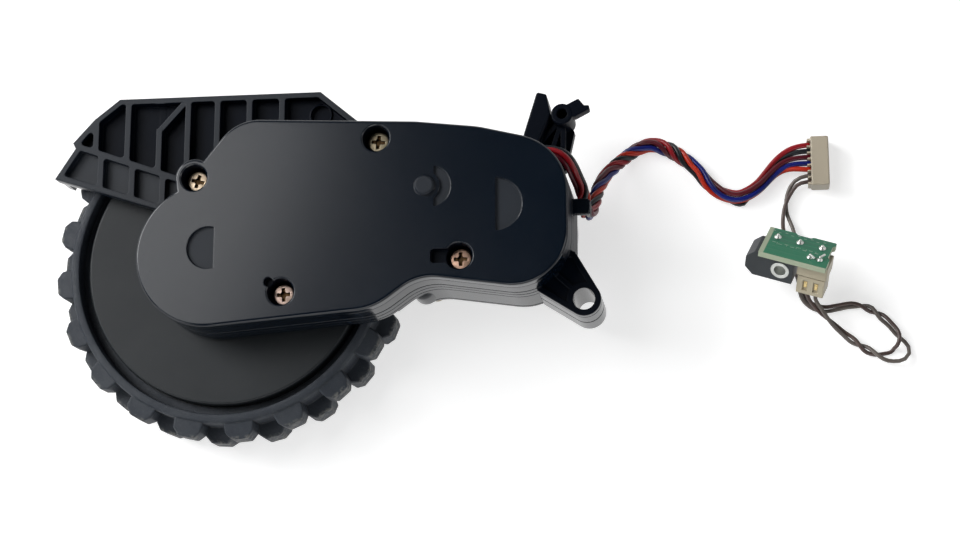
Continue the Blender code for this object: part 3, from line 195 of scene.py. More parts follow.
LEAD_ROUTE = (
    (113.95, 15.7, 1.9), (112.3, 15.5, 1.8), (111.0, 14.2, 1.3), (110.1, 12.0, 1.1), (109.8, 9.6, 1.1),
    (110.1, 7.0, 1.1), (110.8, 4.0, 1.1), (111.4, 0.6, 1.1), (111.8, -2.8, 1.1), (112.1, -5.6, 1.1),
    (112.9, -7.8, 1.1), (114.6, -9.3, 1.1), (116.8, -9.9, 1.1), (119.2, -9.6, 1.1), (121.8, -9.2, 1.1),
    (124.4, -9.6, 1.1), (126.9, -11.1, 1.1), (129.2, -13.3, 1.1), (130.9, -15.9, 1.1), (131.2, -18.4, 1.1),
    (129.2, -19.6, 1.1), (126.4, -19.1, 1.1), (123.6, -17.5, 1.1), (120.9, -15.5, 1.5), (118.6, -13.5, 2.3),
    (116.8, -11.7, 3.0), (115.4, -10.0, 3.4), (114.5, -8.6, 3.6), (114.10, -7.37, 4.01),
    (114.205, -6.823, 4.72),
)
HARNESS_STRANDS = (            # name, finish, place in the twist in degrees, way in the plug
    ("wire_crimson", "crimson", 338.0, 0),
    ("wire_jet", "jet", 266.0, 1),
    ("wire_maroon", "maroon", 50.0, 2),
    ("wire_navy", "navy", 122.0, 3),
    ("wire_scarlet", "scarlet", 194.0, 4),
)
STRAND_RADIUS = 0.52
HARNESS_TWIST = (              # share of the length, turns made so far
    (0.0, 0.0), (0.16, 0.05), (0.26, 0.75), (0.40, 1.5),
    (0.55, 2.5), (0.68, 3.2), (0.80, 3.5), (1.0, 3.6),
)
HARNESS_SPREAD = ((0.0, 0.88), (0.50, 0.88), (0.60, 1.10), (0.68, 0.90), (1.0, 0.88))
SLACK_LOOP = (101.6, 12.6, 5.3, 1.6)   # the black wire: x, y of its middle, half length, depth
LEAD_STRAND_RADIUS = 0.40
LEAD_TWIST = ((0.0, 0.0), (0.20, 0.55), (0.48, 1.1), (0.60, 2.1), (0.72, 2.6), (0.86, 3.6), (1.0, 4.0))
LEAD_SPREAD = ((0.0, 0.5), (0.10, 0.5), (0.17, 0.95), (0.24, 0.7), (0.34, 0.44), (0.50, 0.44), (0.60, 0.5),
               (0.69, 1.5), (0.77, 0.5), (0.86, 0.45), (1.0, 0.44))
LEAD_STRANDS = (               # the same, and the side of the two-way plug
    ("lead_wire_taupe", "taupe", 90.0, 5, 1.0),
    ("lead_wire_umber", "umber", 270.0, 6, -1.0),
)
STRAND_STEP = 0.8              # spacing of the points along a wire
HARNESS_FAN = 11.0             # where the wires leave the twist before the plug
LEAD_FAN = 4.0
TABLE_CLEARANCE = 0.03
PLUG_SIDE = (-1.0, 0.0, 0.0)   # the wires come into the seven-way plug from this side
PLUG_CORNER = (114.4, 13.5)
PLUG_SIZE = (4.2, 10.9, 4.4)
PLUG_WAYS = 7
PLUG_PITCH = 1.25
HOUSING_LENGTH = 10.0
HOUSING_CORNER = (PLUG_CORNER[0], PLUG_CORNER[1] + PLUG_SIZE[1] - HOUSING_LENGTH)
PLUG_WIRE_Z = 2.2

# Wheel-drop switch on its board
BOARD_CENTRE = (111.65, -0.2, 11.3)
BOARD_SIZE = (13.2, 8.2, 1.2)
BOARD_TILT = 38.0
BOARD_ROLL = -6.0
BOARD_TURN = -18.4
SWITCH_SIZE = (9.4, 5.4, 5.6)
SWITCH_X = -4.5
SWITCH_CHAMFER = 1.6
EYELET_RADIUS = 1.7
HEADER_SIZE = (5.9, 4.6, 3.2)
HEADER_X = 3.8
LEAD_PLUG_SIZE = (5.4, 4.0, 4.2)
PLUNGER_SIZE = (1.4, 1.0, 1.0)
PIN_PITCH = 4.4
PIN_ROW_Y = 1.6
LEAD_WAY = 1.05                # from the middle of the two-way plug to each of its wires
UNDER = -BOARD_SIZE[2] / 2.0 - GAP
LEAD_PLUG_TOP = UNDER - HEADER_SIZE[2] - GAP
LEAD_PLUG_END = LEAD_PLUG_TOP - LEAD_PLUG_SIZE[2]

# Finishes of the hidden works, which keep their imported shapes
CARRIED_FINISHES = {
    "output_gear": "acetal", "third_gear": "acetal", "second_gear": "acetal", "first_gear": "acetal",
    "motor_pinion": "brass", "gear_pin_1": "steel", "gear_pin_2": "steel", "gear_pin_3": "steel",
    "output_shaft": "steel", "lower_bush": "bronze", "upper_bush": "bronze", "wheel_screw": "steel",
    "motor_can": "steel", "motor_end_bell": "black", "motor_terminal_1": "brass", "motor_terminal_2": "brass",
    "hall_sensor_1": "black", "hall_sensor_2": "black", "encoder_board": "board", "rotor_shaft": "steel",
    "encoder_magnet": "ferrite", "motor_screw_1": "steel", "motor_screw_2": "steel",
    "switch_plunger": "ivory",
}

# Studio
STAGE_HALF = 3000.0
BACKDROP_RADIUS = 2900.0
BACKDROP_TOP = 2600.0
LAMP_AIM = (40.0, 5.0, 15.0)
LAMPS = (                      # name, place, width and height, watts
    ("left_softbox", (-568.0, 230.0, 900.0), (560.0, 700.0), 4.9),
    ("left_side_glow", (-216.0, 240.0, 980.0), (136.0, 620.0), 0.085),
    ("back_left_softbox", (-700.0, 380.0, 560.0), (520.0, 420.0), 6.6),
    ("front_left_softbox", (-640.0, -520.0, 520.0), (520.0, 420.0), 1.6),
    ("front_softbox", (160.0, -800.0, 420.0), (700.0, 260.0), 1.8),
    ("right_softbox", (820.0, -60.0, 520.0), (260.0, 500.0), 1.0),
)
SKY_COLOUR = (0.85, 0.93, 1.0, 1.0)
SKY_STRENGTH = 0.03


# Small mathematics

def polar(centre, radius, degrees):
    angle = math.radians(degrees)
    return (centre[0] + radius * math.cos(angle), centre[1] + radius * math.sin(angle))


def arc(centre, radius, start, end, steps):
    return [polar(centre, radius, start + (end - start) * i / steps) for i in range(steps + 1)]


def circle(centre, radius, steps):
    return arc(centre, radius, 0.0, 360.0, steps)[:-1]


def fillet(before, corner, after, radius, steps):
    """Points of the arc that rounds one corner of an outline."""
    here = Vector(corner)
    u = (Vector(before) - here).normalized()
    v = (Vector(after) - here).normalized()
    half = u.angle(v) / 2.0
    centre = here + (u + v).normalized() * (radius / math.sin(half))
    first = here + u * (radius / math.tan(half)) - centre
    last = here + v * (radius / math.tan(half)) - centre
    sweep = first.angle_signed(last)
    return [tuple(centre + Matrix.Rotation(-sweep * i / steps, 2) @ first) for i in range(steps + 1)]


def rounded(outline, radius, steps=4):
    """The outline with every corner rounded, less where its sides are short."""
    outline = [p for p, q in zip(outline, outline[1:] + outline[:1]) if math.dist(p, q) > 0.05]
    count = len(outline)
    points = []
    for i in range(count):
        before, here, after = outline[i - 1], outline[i], outline[(i + 1) % count]
        u, v = Vector(before) - Vector(here), Vector(after) - Vector(here)
        room = 0.42 * min(u.length, v.length) * math.tan(u.angle(v) / 2.0)
        points += fillet(before, here, after, min(radius, room), steps)
    return points


def inset(outline, distance):
    """The outline moved inwards by a distance, corner by corner."""
    points = []
    count = len(outline)
    for i in range(count):
        before, here, after = (Vector(outline[(i + k) % count]) for k in (-1, 0, 1))
        first = (here - before).normalized()
        second = (after - here).normalized()
        normal = Vector((-first.y - second.y, first.x + second.x)).normalized()
        share = max(0.5, normal.dot(Vector((-first.y, first.x))))
        points.append(tuple(here + normal * (distance / share)))
    return points


def clip(outline, normal, limit):
    """The part of a convex outline where point . normal <= limit."""
    kept = []
    for i, point in enumerate(outline):
        other = outline[(i + 1) % len(outline)]
        a = point[0] * normal[0] + point[1] * normal[1] - limit
        b = other[0] * normal[0] + other[1] * normal[1] - limit
        if a <= 0.0:
            kept.append(point)
        if a * b < 0.0:
            share = a / (a - b)
            kept.append((point[0] + (other[0] - point[0]) * share,
                         point[1] + (other[1] - point[1]) * share))
    return kept


def smooth(share):
    share = max(0.0, min(1.0, share))
    return share * share * (3.0 - 2.0 * share)


def eased(marks, at):
    """A value that runs smoothly through (place, value) marks."""
    for (a, low), (b, high) in zip(marks, marks[1:]):
        if at <= b:
            return low + (high - low) * smooth((at - a) / (b - a))
    return marks[-1][1]


# Mesh makers

def rings_solid(rings):
    """A closed solid through rings of points with equal counts, capped at both ends."""
    shape = bmesh.new()
    loops = [[shape.verts.new((x * MM, y * MM, z * MM)) for x, y, z in ring] for ring in rings]
    for low, high in zip(loops, loops[1:]):
        for i in range(len(low)):
            j = (i + 1) % len(low)
            shape.faces.new((low[i], low[j], high[j], high[i]))
    shape.faces.new(loops[0][::-1])
    shape.faces.new(loops[-1])
    bmesh.ops.recalc_face_normals(shape, faces=shape.faces)
    return shape


def at_level(outline, z):
    return [(x, y, z) for x, y in outline]


def prism(outline, low, high, top_round=0.0, bottom_round=0.0, steps=4, grooves=()):
    """An outline raised between two levels, with rounded rims and fine grooves round its wall."""
    rings = []
    if bottom_round:
        for i in range(steps + 1):
            turn = math.pi / 2.0 * i / steps
            rings.append(at_level(inset(outline, bottom_round * (1.0 - math.sin(turn))),
                                  low + bottom_round * (1.0 - math.cos(turn))))
    else:
        rings.append(at_level(outline, low))
    for z, width, depth in grooves:
        for lift, cut_in in ((-0.5, 0.0), (-0.2, depth), (0.2, depth), (0.5, 0.0)):
            rings.append(at_level(inset(outline, cut_in), z + lift * width))
    if top_round:
        for i in range(steps + 1):
            turn = math.pi / 2.0 * i / steps
            rings.append(at_level(inset(outline, top_round * (1.0 - math.cos(turn))),
                                  high - top_round * (1.0 - math.sin(turn))))
    else:
        rings.append(at_level(outline, high))
    return rings_solid(rings)


def drafted(outline, low, high, draft):
    """A pocket whose walls lean out towards its mouth."""
    return rings_solid([at_level(inset(outline, draft), low), at_level(outline, high)])


def turned(profile, segments, centre=(0.0, 0.0)):
    """A closed profile of radius and height, spun about an upright axis."""
    shape = bmesh.new()
    verts = [shape.verts.new(((centre[0] + r) * MM, centre[1] * MM, z * MM)) for r, z in profile]
    edges = [shape.edges.new((verts[i], verts[(i + 1) % len(verts)])) for i in range(len(verts))]
    bmesh.ops.spin(shape, geom=verts + edges, cent=(centre[0] * MM, centre[1] * MM, 0.0),
                   axis=(0.0, 0.0, 1.0), angle=2.0 * math.pi, steps=segments, use_merge=True)
    bmesh.ops.remove_doubles(shape, verts=shape.verts, dist=0.000005)
    loose = [edge for edge in shape.edges if not edge.link_faces]
    bmesh.ops.delete(shape, geom=loose, context="EDGES")
    bmesh.ops.recalc_face_normals(shape, faces=shape.faces)
    return shape


def rod(radius, low, high, segments, centre=(0.0, 0.0), top_round=0.0, bottom_round=0.0):
    return prism(circle(centre, radius, segments), low, high, top_round, bottom_round, 3)


def tube(outer, inner, low, high, segments, centre=(0.0, 0.0), edge=0.0):
    profile = [(inner + edge, low), (outer - edge, low), (outer, low + edge), (outer, high - edge),
               (outer - edge, high), (inner + edge, high), (inner, high - edge), (inner, low + edge)]
    if not edge:
        profile = [(inner, low), (outer, low), (outer, high), (inner, high)]
    return turned(profile, segments, centre)


def block(size, middle, edge=0.0, steps=3):
    """A plain block whose upright corners and rims are rounded."""
    half_x, half_y = size[0] / 2.0, size[1] / 2.0
    outline = [(middle[0] - half_x, middle[1] - half_y), (middle[0] + half_x, middle[1] - half_y),
               (middle[0] + half_x, middle[1] + half_y), (middle[0] - half_x, middle[1] + half_y)]
    low, high = middle[2] - size[2] / 2.0, middle[2] + size[2] / 2.0
    if not edge:
        return prism(outline, low, high)
    return prism(rounded(outline, edge, steps), low, high, edge * 0.9, edge * 0.9, steps)


def across(profile, start, end):
    """A profile of x and z points extruded along Y."""
    return rings_solid([[(x, start, z) for x, z in profile], [(x, end, z) for x, z in profile]])


def bar(start, end, width, low, high, top_round=0.0):
    """A straight rib between two plan points."""
    a, b = Vector(start), Vector(end)
    side = (b - a).normalized() * (width / 2.0)
    side = Vector((-side.y, side.x))
    outline = [tuple(a - side), tuple(b - side), tuple(b + side), tuple(a + side)]
    return prism(outline, low, high, top_round)


def as_object(name, shape):
    mesh = bpy.data.meshes.new(name)
    shape.to_mesh(mesh)
    shape.free()
    item = bpy.data.objects.new(name, mesh)
    bpy.context.scene.collection.objects.link(item)
    return item


def discard(item):
    data = item.data
    bpy.data.objects.remove(item)
    if data.users == 0:
        bpy.data.meshes.remove(data)


def take(item):
    """Hand over an object's shape as a mesh and delete the object."""
    shape = bmesh.new()
    shape.from_mesh(item.data)
    discard(item)
    return shape


def merged(shapes):
    """Several closed shapes in one mesh, still apart."""
    whole = bmesh.new()
    for shape in shapes:
        mesh = bpy.data.meshes.new("shape")
        shape.to_mesh(mesh)
        shape.free()
        whole.from_mesh(mesh)
        bpy.data.meshes.remove(mesh)
    return whole


def moved(shape, matrix):
    """The shape turned and placed by a matrix whose offset is in metres."""
    bmesh.ops.transform(shape, matrix=matrix, verts=shape.verts)
    return shape


def settle(item):
    """Replace an object's mesh by what its modifiers make of it."""
    graph = bpy.context.evaluated_depsgraph_get()
    mesh = bpy.data.meshes.new_from_object(item.evaluated_get(graph))
    item.modifiers.clear()
    old = item.data
    item.data = mesh
    bpy.data.meshes.remove(old)


def boolean(item, shapes, operation):
    """Join, cut or intersect an object with each of the shapes in turn."""
    tools = []
    for shape in shapes:
        tool = as_object("tool", shape)
        step = item.modifiers.new("step", "BOOLEAN")
        step.operation = operation
        step.solver = "EXACT"
        step.object = tool
        tools.append(tool)
    settle(item)
    for tool in tools:
        discard(tool)
    return item


def join(item, shapes):
    return boolean(item, shapes, "UNION")


def cut(item, shapes):
    return boolean(item, shapes, "DIFFERENCE")


def shaded(item, material, angle=32.0):
    """One material, smooth round forms, crisp corners and level flats."""
    item.data.materials.clear()
    item.data.materials.append(material)
    for face in item.data.polygons:
        face.material_index = 0
    item.data.shade_smooth()
    item.data.set_sharp_from_angle(angle=math.radians(angle))
    level = item.modifiers.new("level", "WEIGHTED_NORMAL")
    level.keep_sharp = True
    level.weight = 100
    settle(item)
    return item


def lined(item, material, inside):
    """Give a second material, here always a painted shade, to the faces whose middle and normal pass a test.
    """
    item.data.materials.append(material)
    for face in item.data.polygons:
        if inside(face.center / MM, face.normal):
            face.material_index = len(item.data.materials) - 1
    return item


def matted(item, inside):
    """Mark the points of the duller recess floors."""
    mark = item.data.attributes.new("matt_floor", "FLOAT", "POINT")
    for vert in item.data.vertices:
        mark.data[vert.index].value = float(inside(vert.co / MM))
    return item


def hand_over(item, body, slot, *nodes):
    """Tie a finished piece to its body and hide the nodes that it stands for; the slot is not used."""
    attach(item, body)
    if nodes:
        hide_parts(*nodes)
    return item


# Node trees

class Graph:
    """Short words for building a node tree."""

    def __init__(self, tree):
        self.tree = tree

    def add(self, kind, settings=None, inputs=None):
        item = self.tree.nodes.new(kind)
        for name, value in (settings or {}).items():
            setattr(item, name, value)
        for name, value in (inputs or {}).items():
            self.feed(item.inputs[name], value)
        return item

    def feed(self, socket, value):
        if isinstance(value, bpy.types.NodeSocket):
            self.tree.links.new(value, socket)
        else:
            socket.default_value = value

    def sum(self, operation, first, second=0.0, third=None):
        """One arithmetic node of any kind."""
        item = self.add("ShaderNodeMath", {"operation": operation}, {0: first, 1: second})
        if third is not None:
            self.feed(item.inputs[2], third)
        return item.outputs[0]

    def times(self, first, second):
        return self.sum("MULTIPLY", first, second)

    def ranged(self, value, low, high, to_low=0.0, to_high=1.0, interpolation="SMOOTHSTEP"):
        """A value mapped from one range to another and held inside it."""
        settings = {"interpolation_type": interpolation, "clamp": True}
        inputs = {"Value": value, "From Min": low, "From Max": high, "To Min": to_low, "To Max": to_high}
        return self.add("ShaderNodeMapRange", settings, inputs).outputs["Result"]

    def attribute(self, name, output="Fac"):
        return self.add("ShaderNodeAttribute", {"attribute_name": name}).outputs[output]

    def parts(self, vector):
        return self.add("ShaderNodeSeparateXYZ", None, {"Vector": vector}).outputs

    def vector(self, x=0.0, y=0.0, z=0.0):
        return self.add("ShaderNodeCombineXYZ", None, {"X": x, "Y": y, "Z": z}).outputs[0]

    def blend(self, share, first, second):
        item = self.add("ShaderNodeMix", {"data_type": "RGBA"})
        self.feed(item.inputs["Factor"], share)
        for socket, value in ((item.inputs[6], first), (item.inputs[7], second)):
            self.feed(socket, value if isinstance(value, bpy.types.NodeSocket) else (*value, 1.0))
        return item.outputs[2]

    def noise(self, vector, scale, detail=3.0, roughness=0.55, stretch=None):
        if stretch:
            mapping = self.add("ShaderNodeMapping", None, {"Vector": vector, "Scale": stretch})
            vector = mapping.outputs["Vector"]
        inputs = {"Vector": vector, "Scale": scale, "Detail": detail, "Roughness": roughness}
        return self.add("ShaderNodeTexNoise", None, inputs).outputs["Fac"]

    def place(self):
        return self.add("ShaderNodeTexCoord").outputs["Object"]


def group_of(name, inputs, outputs, kind="ShaderNodeTree"):
    """An empty node group with its sockets; gives the graph, its inputs and its output node."""
    tree = bpy.data.node_groups.new(name, kind)
    for label, socket_type, value in inputs:
        socket = tree.interface.new_socket(name=label, in_out="INPUT", socket_type=socket_type)
        if value is not None:
            socket.default_value = value
    for label, socket_type in outputs:
        tree.interface.new_socket(name=label, in_out="OUTPUT", socket_type=socket_type)
    graph = Graph(tree)
    return graph, graph.add("NodeGroupInput").outputs, graph.add("NodeGroupOutput").inputs


def grain_group():
    """Fine moulded texture with a broad, slow change of tone."""
    graph, given, out = group_of(
        "moulded_grain",
        [("Grain Scale", "NodeSocketFloat", 4000.0), ("Tone Scale", "NodeSocketFloat", 60.0)],
        [("Height", "NodeSocketFloat"), ("Tone", "NodeSocketFloat")])
    place = graph.place()
    fine = graph.noise(place, given["Grain Scale"], 2.0, 0.6)
    slow = graph.noise(place, given["Tone Scale"], 4.0, 0.55)
    coarse = graph.noise(place, graph.times(given["Grain Scale"], 0.28), 2.0, 0.5)
    graph.feed(out["Height"], graph.sum("ADD", graph.times(fine, 0.6), graph.times(coarse, 0.4)))
    graph.feed(out["Tone"], graph.ranged(slow, 0.3, 0.7))
    return graph.tree


def edge_group():
    """Where a corner is, from the rounded normal against the true one, broken up by handling."""
    graph, given, out = group_of(
        "handled_edge", [("Width", "NodeSocketFloat", 0.0003), ("Breakup", "NodeSocketFloat", 400.0)],
        [("Mask", "NodeSocketFloat"), ("Normal", "NodeSocketVector")])
    soft = graph.add("ShaderNodeBevel", {"samples": 8}, {"Radius": given["Width"]}).outputs["Normal"]
    true = graph.add("ShaderNodeNewGeometry").outputs["Normal"]
    product = graph.add("ShaderNodeVectorMath", {"operation": "DOT_PRODUCT"}, {0: soft, 1: true})
    meet = product.outputs["Value"]
    corner = graph.ranged(graph.sum("SUBTRACT", 1.0, meet), 0.01, 0.16)
    broken = graph.ranged(graph.noise(graph.place(), given["Breakup"], 3.0), 0.35, 0.62)
    graph.feed(out["Mask"], graph.times(corner, broken))
    graph.feed(out["Normal"], soft)
    return graph.tree


def dust_group():
    """Light dust that settles on what faces up, in small specks and a thin film."""
    graph, given, out = group_of(
        "settled_dust", [("Amount", "NodeSocketFloat", 0.3)], [("Mask", "NodeSocketFloat")])
    place = graph.place()
    normal = graph.add("ShaderNodeNewGeometry").outputs["Normal"]
    up = graph.ranged(graph.parts(normal)["Z"], 0.4, 1.0)
    film = graph.ranged(graph.noise(place, 130.0, 5.0, 0.6), 0.35, 0.75)
    specks = graph.ranged(graph.noise(place, 2600.0, 1.0), 0.70, 0.76)
    both = graph.sum("ADD", graph.times(film, 0.35), specks)
    graph.feed(out["Mask"], graph.times(graph.times(both, up), given["Amount"]))
    return graph.tree


GROUPS = {"grain": grain_group(), "edge": edge_group(), "dust": dust_group()}


def use(graph, name, **inputs):
    item = graph.add("ShaderNodeGroup", {"node_tree": GROUPS[name]})
    for key, value in inputs.items():
        graph.feed(item.inputs[key.replace("_", " ")], value)
    return item.outputs


def new_material(name):
    material = bpy.data.materials.new(name)
    material.use_nodes = True
    graph = Graph(material.node_tree)
    return material, graph, material.node_tree.nodes["Principled BSDF"]


def bumped(graph, shader, height, strength, depth, normal=None):
    """Let a height stand out of the surface; the depth is in millimetres."""
    inputs = {"Strength": strength, "Distance": depth * MM, "Height": height}
    if normal is not None:
        inputs["Normal"] = normal
    graph.feed(shader.inputs["Normal"], graph.add("ShaderNodeBump", None, inputs).outputs["Normal"])


def plastic(name, deep, pale, roughness, level=0.5, grain=3600.0, bump=0.12, edge=0.25, worn=None, wear=0.4,
            dust=0.12, tone=55.0, matt=0.0):
    """Moulded plastic: slow tone, fine grain, soft worn edges, a little dust and duller recess floors."""
    material, graph, shader = new_material(name)
    grain_out = use(graph, "grain", Grain_Scale=grain, Tone_Scale=tone)
    edge_out = use(graph, "edge", Width=edge * MM)
    colour = graph.blend(grain_out["Tone"], deep, pale)
    worn = worn or tuple(min(1.0, c * 2.2 + 0.03) for c in pale)
    colour = graph.blend(graph.times(edge_out["Mask"], wear), colour, worn)
    colour = graph.blend(use(graph, "dust", Amount=dust)["Mask"], colour, (0.42, 0.41, 0.39))
    graph.feed(shader.inputs["Base Color"], colour)
    spread = graph.ranged(grain_out["Height"], 0.3, 0.7, roughness - 0.02, roughness + 0.03)
    if matt:
        floor = graph.attribute("matt_floor")
        spread = graph.ranged(floor, 0.0, 1.0, spread, matt, "LINEAR")
    graph.feed(shader.inputs["Roughness"], spread)
    shader.inputs["Specular IOR Level"].default_value = level
    bumped(graph, shader, grain_out["Height"], bump, 0.05, edge_out["Normal"])
    return material


def metal(name, deep, pale, roughness, brushed=(1.0, 1.0, 1.0), scale=1500.0, edge=0.12, tarnish=0.3):
    """Bare metal with fine tool marks and a patchy, duller tone."""
    material, graph, shader = new_material(name)
    place = graph.place()
    marks = graph.noise(place, scale, 4.0, 0.6, brushed)
    patch = graph.ranged(graph.noise(place, 420.0, 4.0), 0.35, 0.7)
    edge_out = use(graph, "edge", Width=edge * MM)
    colour = graph.blend(graph.times(patch, tarnish), pale, deep)
    colour = graph.blend(graph.ranged(marks, 0.35, 0.65), colour, tuple(c * 0.82 for c in pale))
    graph.feed(shader.inputs["Base Color"], colour)
    shader.inputs["Metallic"].default_value = 1.0
    graph.feed(shader.inputs["Roughness"], graph.ranged(marks, 0.3, 0.7, roughness - 0.08, roughness + 0.1))
    bumped(graph, shader, marks, 0.18, 0.03, edge_out["Normal"])
    return material


def screw_plating(name):
    """Thin plating that came out another colour on each screw: cream, bronze, pink and orange copper."""
    material, graph, shader = new_material(name)
    number = graph.attribute("piece_number")
    tone = SCREW_TONES[0]
    for i, next_tone in enumerate(SCREW_TONES[1:]):
        tone = graph.blend(graph.ranged(number, i + 0.4, i + 0.6), tone, next_tone)
    place = graph.place()
    marks = graph.noise(place, 2200.0, 4.0, 0.6)
    patch = graph.ranged(graph.noise(place, 700.0, 3.0), 0.38, 0.68)
    edge_out = use(graph, "edge", Width=0.14 * MM)
    colour = graph.blend(graph.times(patch, 0.35), tone, (0.20, 0.13, 0.07))
    colour = graph.blend(graph.times(edge_out["Mask"], 0.3), colour, (0.86, 0.76, 0.64))
    graph.feed(shader.inputs["Base Color"], colour)
    shader.inputs["Metallic"].default_value = 1.0
    graph.feed(shader.inputs["Roughness"], graph.ranged(marks, 0.3, 0.7, 0.34, 0.5))
    bumped(graph, shader, marks, 0.2, 0.03, edge_out["Normal"])
    return material


def rubber(name):
    """Tyre compound: matt, mottled, paler and scuffed on the lug walls."""
    material, graph, shader = new_material(name)
    place = graph.place()
    grain_out = use(graph, "grain", Grain_Scale=2600.0, Tone_Scale=120.0)
    edge_out = use(graph, "edge", Width=0.3 * MM, Breakup=900.0)
    apart = graph.parts(place)
    flat = graph.vector(apart["X"], apart["Y"])
    reach = graph.add("ShaderNodeVectorMath", {"operation": "LENGTH"}, {0: flat}).outputs["Value"]
    outer = graph.ranged(reach, (TYRE_RADIUS - 0.8) * MM, (TYRE_RADIUS - 0.2) * MM)
    mottle = graph.ranged(graph.noise(place, 900.0, 4.0, 0.65), 0.42, 0.62)
    colour = graph.blend(grain_out["Tone"], (0.014, 0.019, 0.028), (0.022, 0.028, 0.037))
    colour = graph.blend(graph.times(graph.times(outer, mottle), 0.75), colour, (0.16, 0.16, 0.15))
    colour = graph.blend(graph.times(edge_out["Mask"], 0.35), colour, (0.13, 0.13, 0.13))
    colour = graph.blend(use(graph, "dust", Amount=0.06)["Mask"], colour, (0.36, 0.35, 0.33))
    graph.feed(shader.inputs["Base Color"], colour)
    graph.feed(shader.inputs["Roughness"], graph.ranged(grain_out["Height"], 0.3, 0.7, 0.55, 0.72))
    shader.inputs["Specular IOR Level"].default_value = 0.4
    bumps = graph.sum("ADD", graph.times(grain_out["Height"], 0.35), graph.times(mottle, 0.5))
    bumped(graph, shader, bumps, 0.35, 0.12, edge_out["Normal"])
    return material


def wire_sheath(name, deep, pale):
    """Thin flexible wire cover: glossy, with a slow change of tone and faint draw marks along it."""
    material, graph, shader = new_material(name)
    place = graph.place()
    slow = graph.ranged(graph.noise(place, 160.0, 3.0), 0.3, 0.7)
    fine = graph.noise(place, 3000.0, 2.0)
    graph.feed(shader.inputs["Base Color"], graph.blend(slow, deep, pale))
    graph.feed(shader.inputs["Roughness"], graph.ranged(fine, 0.3, 0.7, 0.30, 0.40))
    shader.inputs["Specular IOR Level"].default_value = 0.36
    shader.inputs["Coat Weight"].default_value = 0.08
    shader.inputs["Coat Roughness"].default_value = 0.15
    bumped(graph, shader, fine, 0.12, 0.04)
    return material


def circuit_board(name):
    """Green lacquer over copper: traces show as paler bands, the cut edge is pale glass fibre."""
    material, graph, shader = new_material(name)
    apart = graph.parts(graph.attribute("board_place", "Vector"))
    x, y = apart["X"], apart["Y"]
    left_end = -BOARD_SIZE[0] / 2.0
    margin = graph.ranged(x, left_end + 1.0, left_end + 0.8)
    bare = graph.sum("MAXIMUM", graph.attribute("board_side"), margin)
    wave = graph.noise(graph.vector(graph.times(x, 0.12), y), 1.1, 2.0)
    band = graph.sum("FRACT", graph.times(graph.sum("ADD", y, wave), 0.8))
    traces = graph.ranged(graph.sum("ABSOLUTE", graph.sum("SUBTRACT", band, 0.5)), 0.10, 0.16)
    upper = graph.ranged(y, 0.0, 0.6)
    colour = graph.blend(graph.times(traces, graph.times(upper, 0.55)), (0.002, 0.170, 0.080),
                         (0.012, 0.120, 0.070))
    colour = graph.blend(bare, colour, (0.40, 0.46, 0.33))
    colour = graph.blend(use(graph, "dust", Amount=0.10)["Mask"], colour, (0.5, 0.52, 0.45))
    graph.feed(shader.inputs["Base Color"], colour)
    graph.feed(shader.inputs["Roughness"], graph.ranged(bare, 0.4, 0.6, 0.28, 0.6))
    bumped(graph, shader, traces, 0.3, 0.04)
    return material


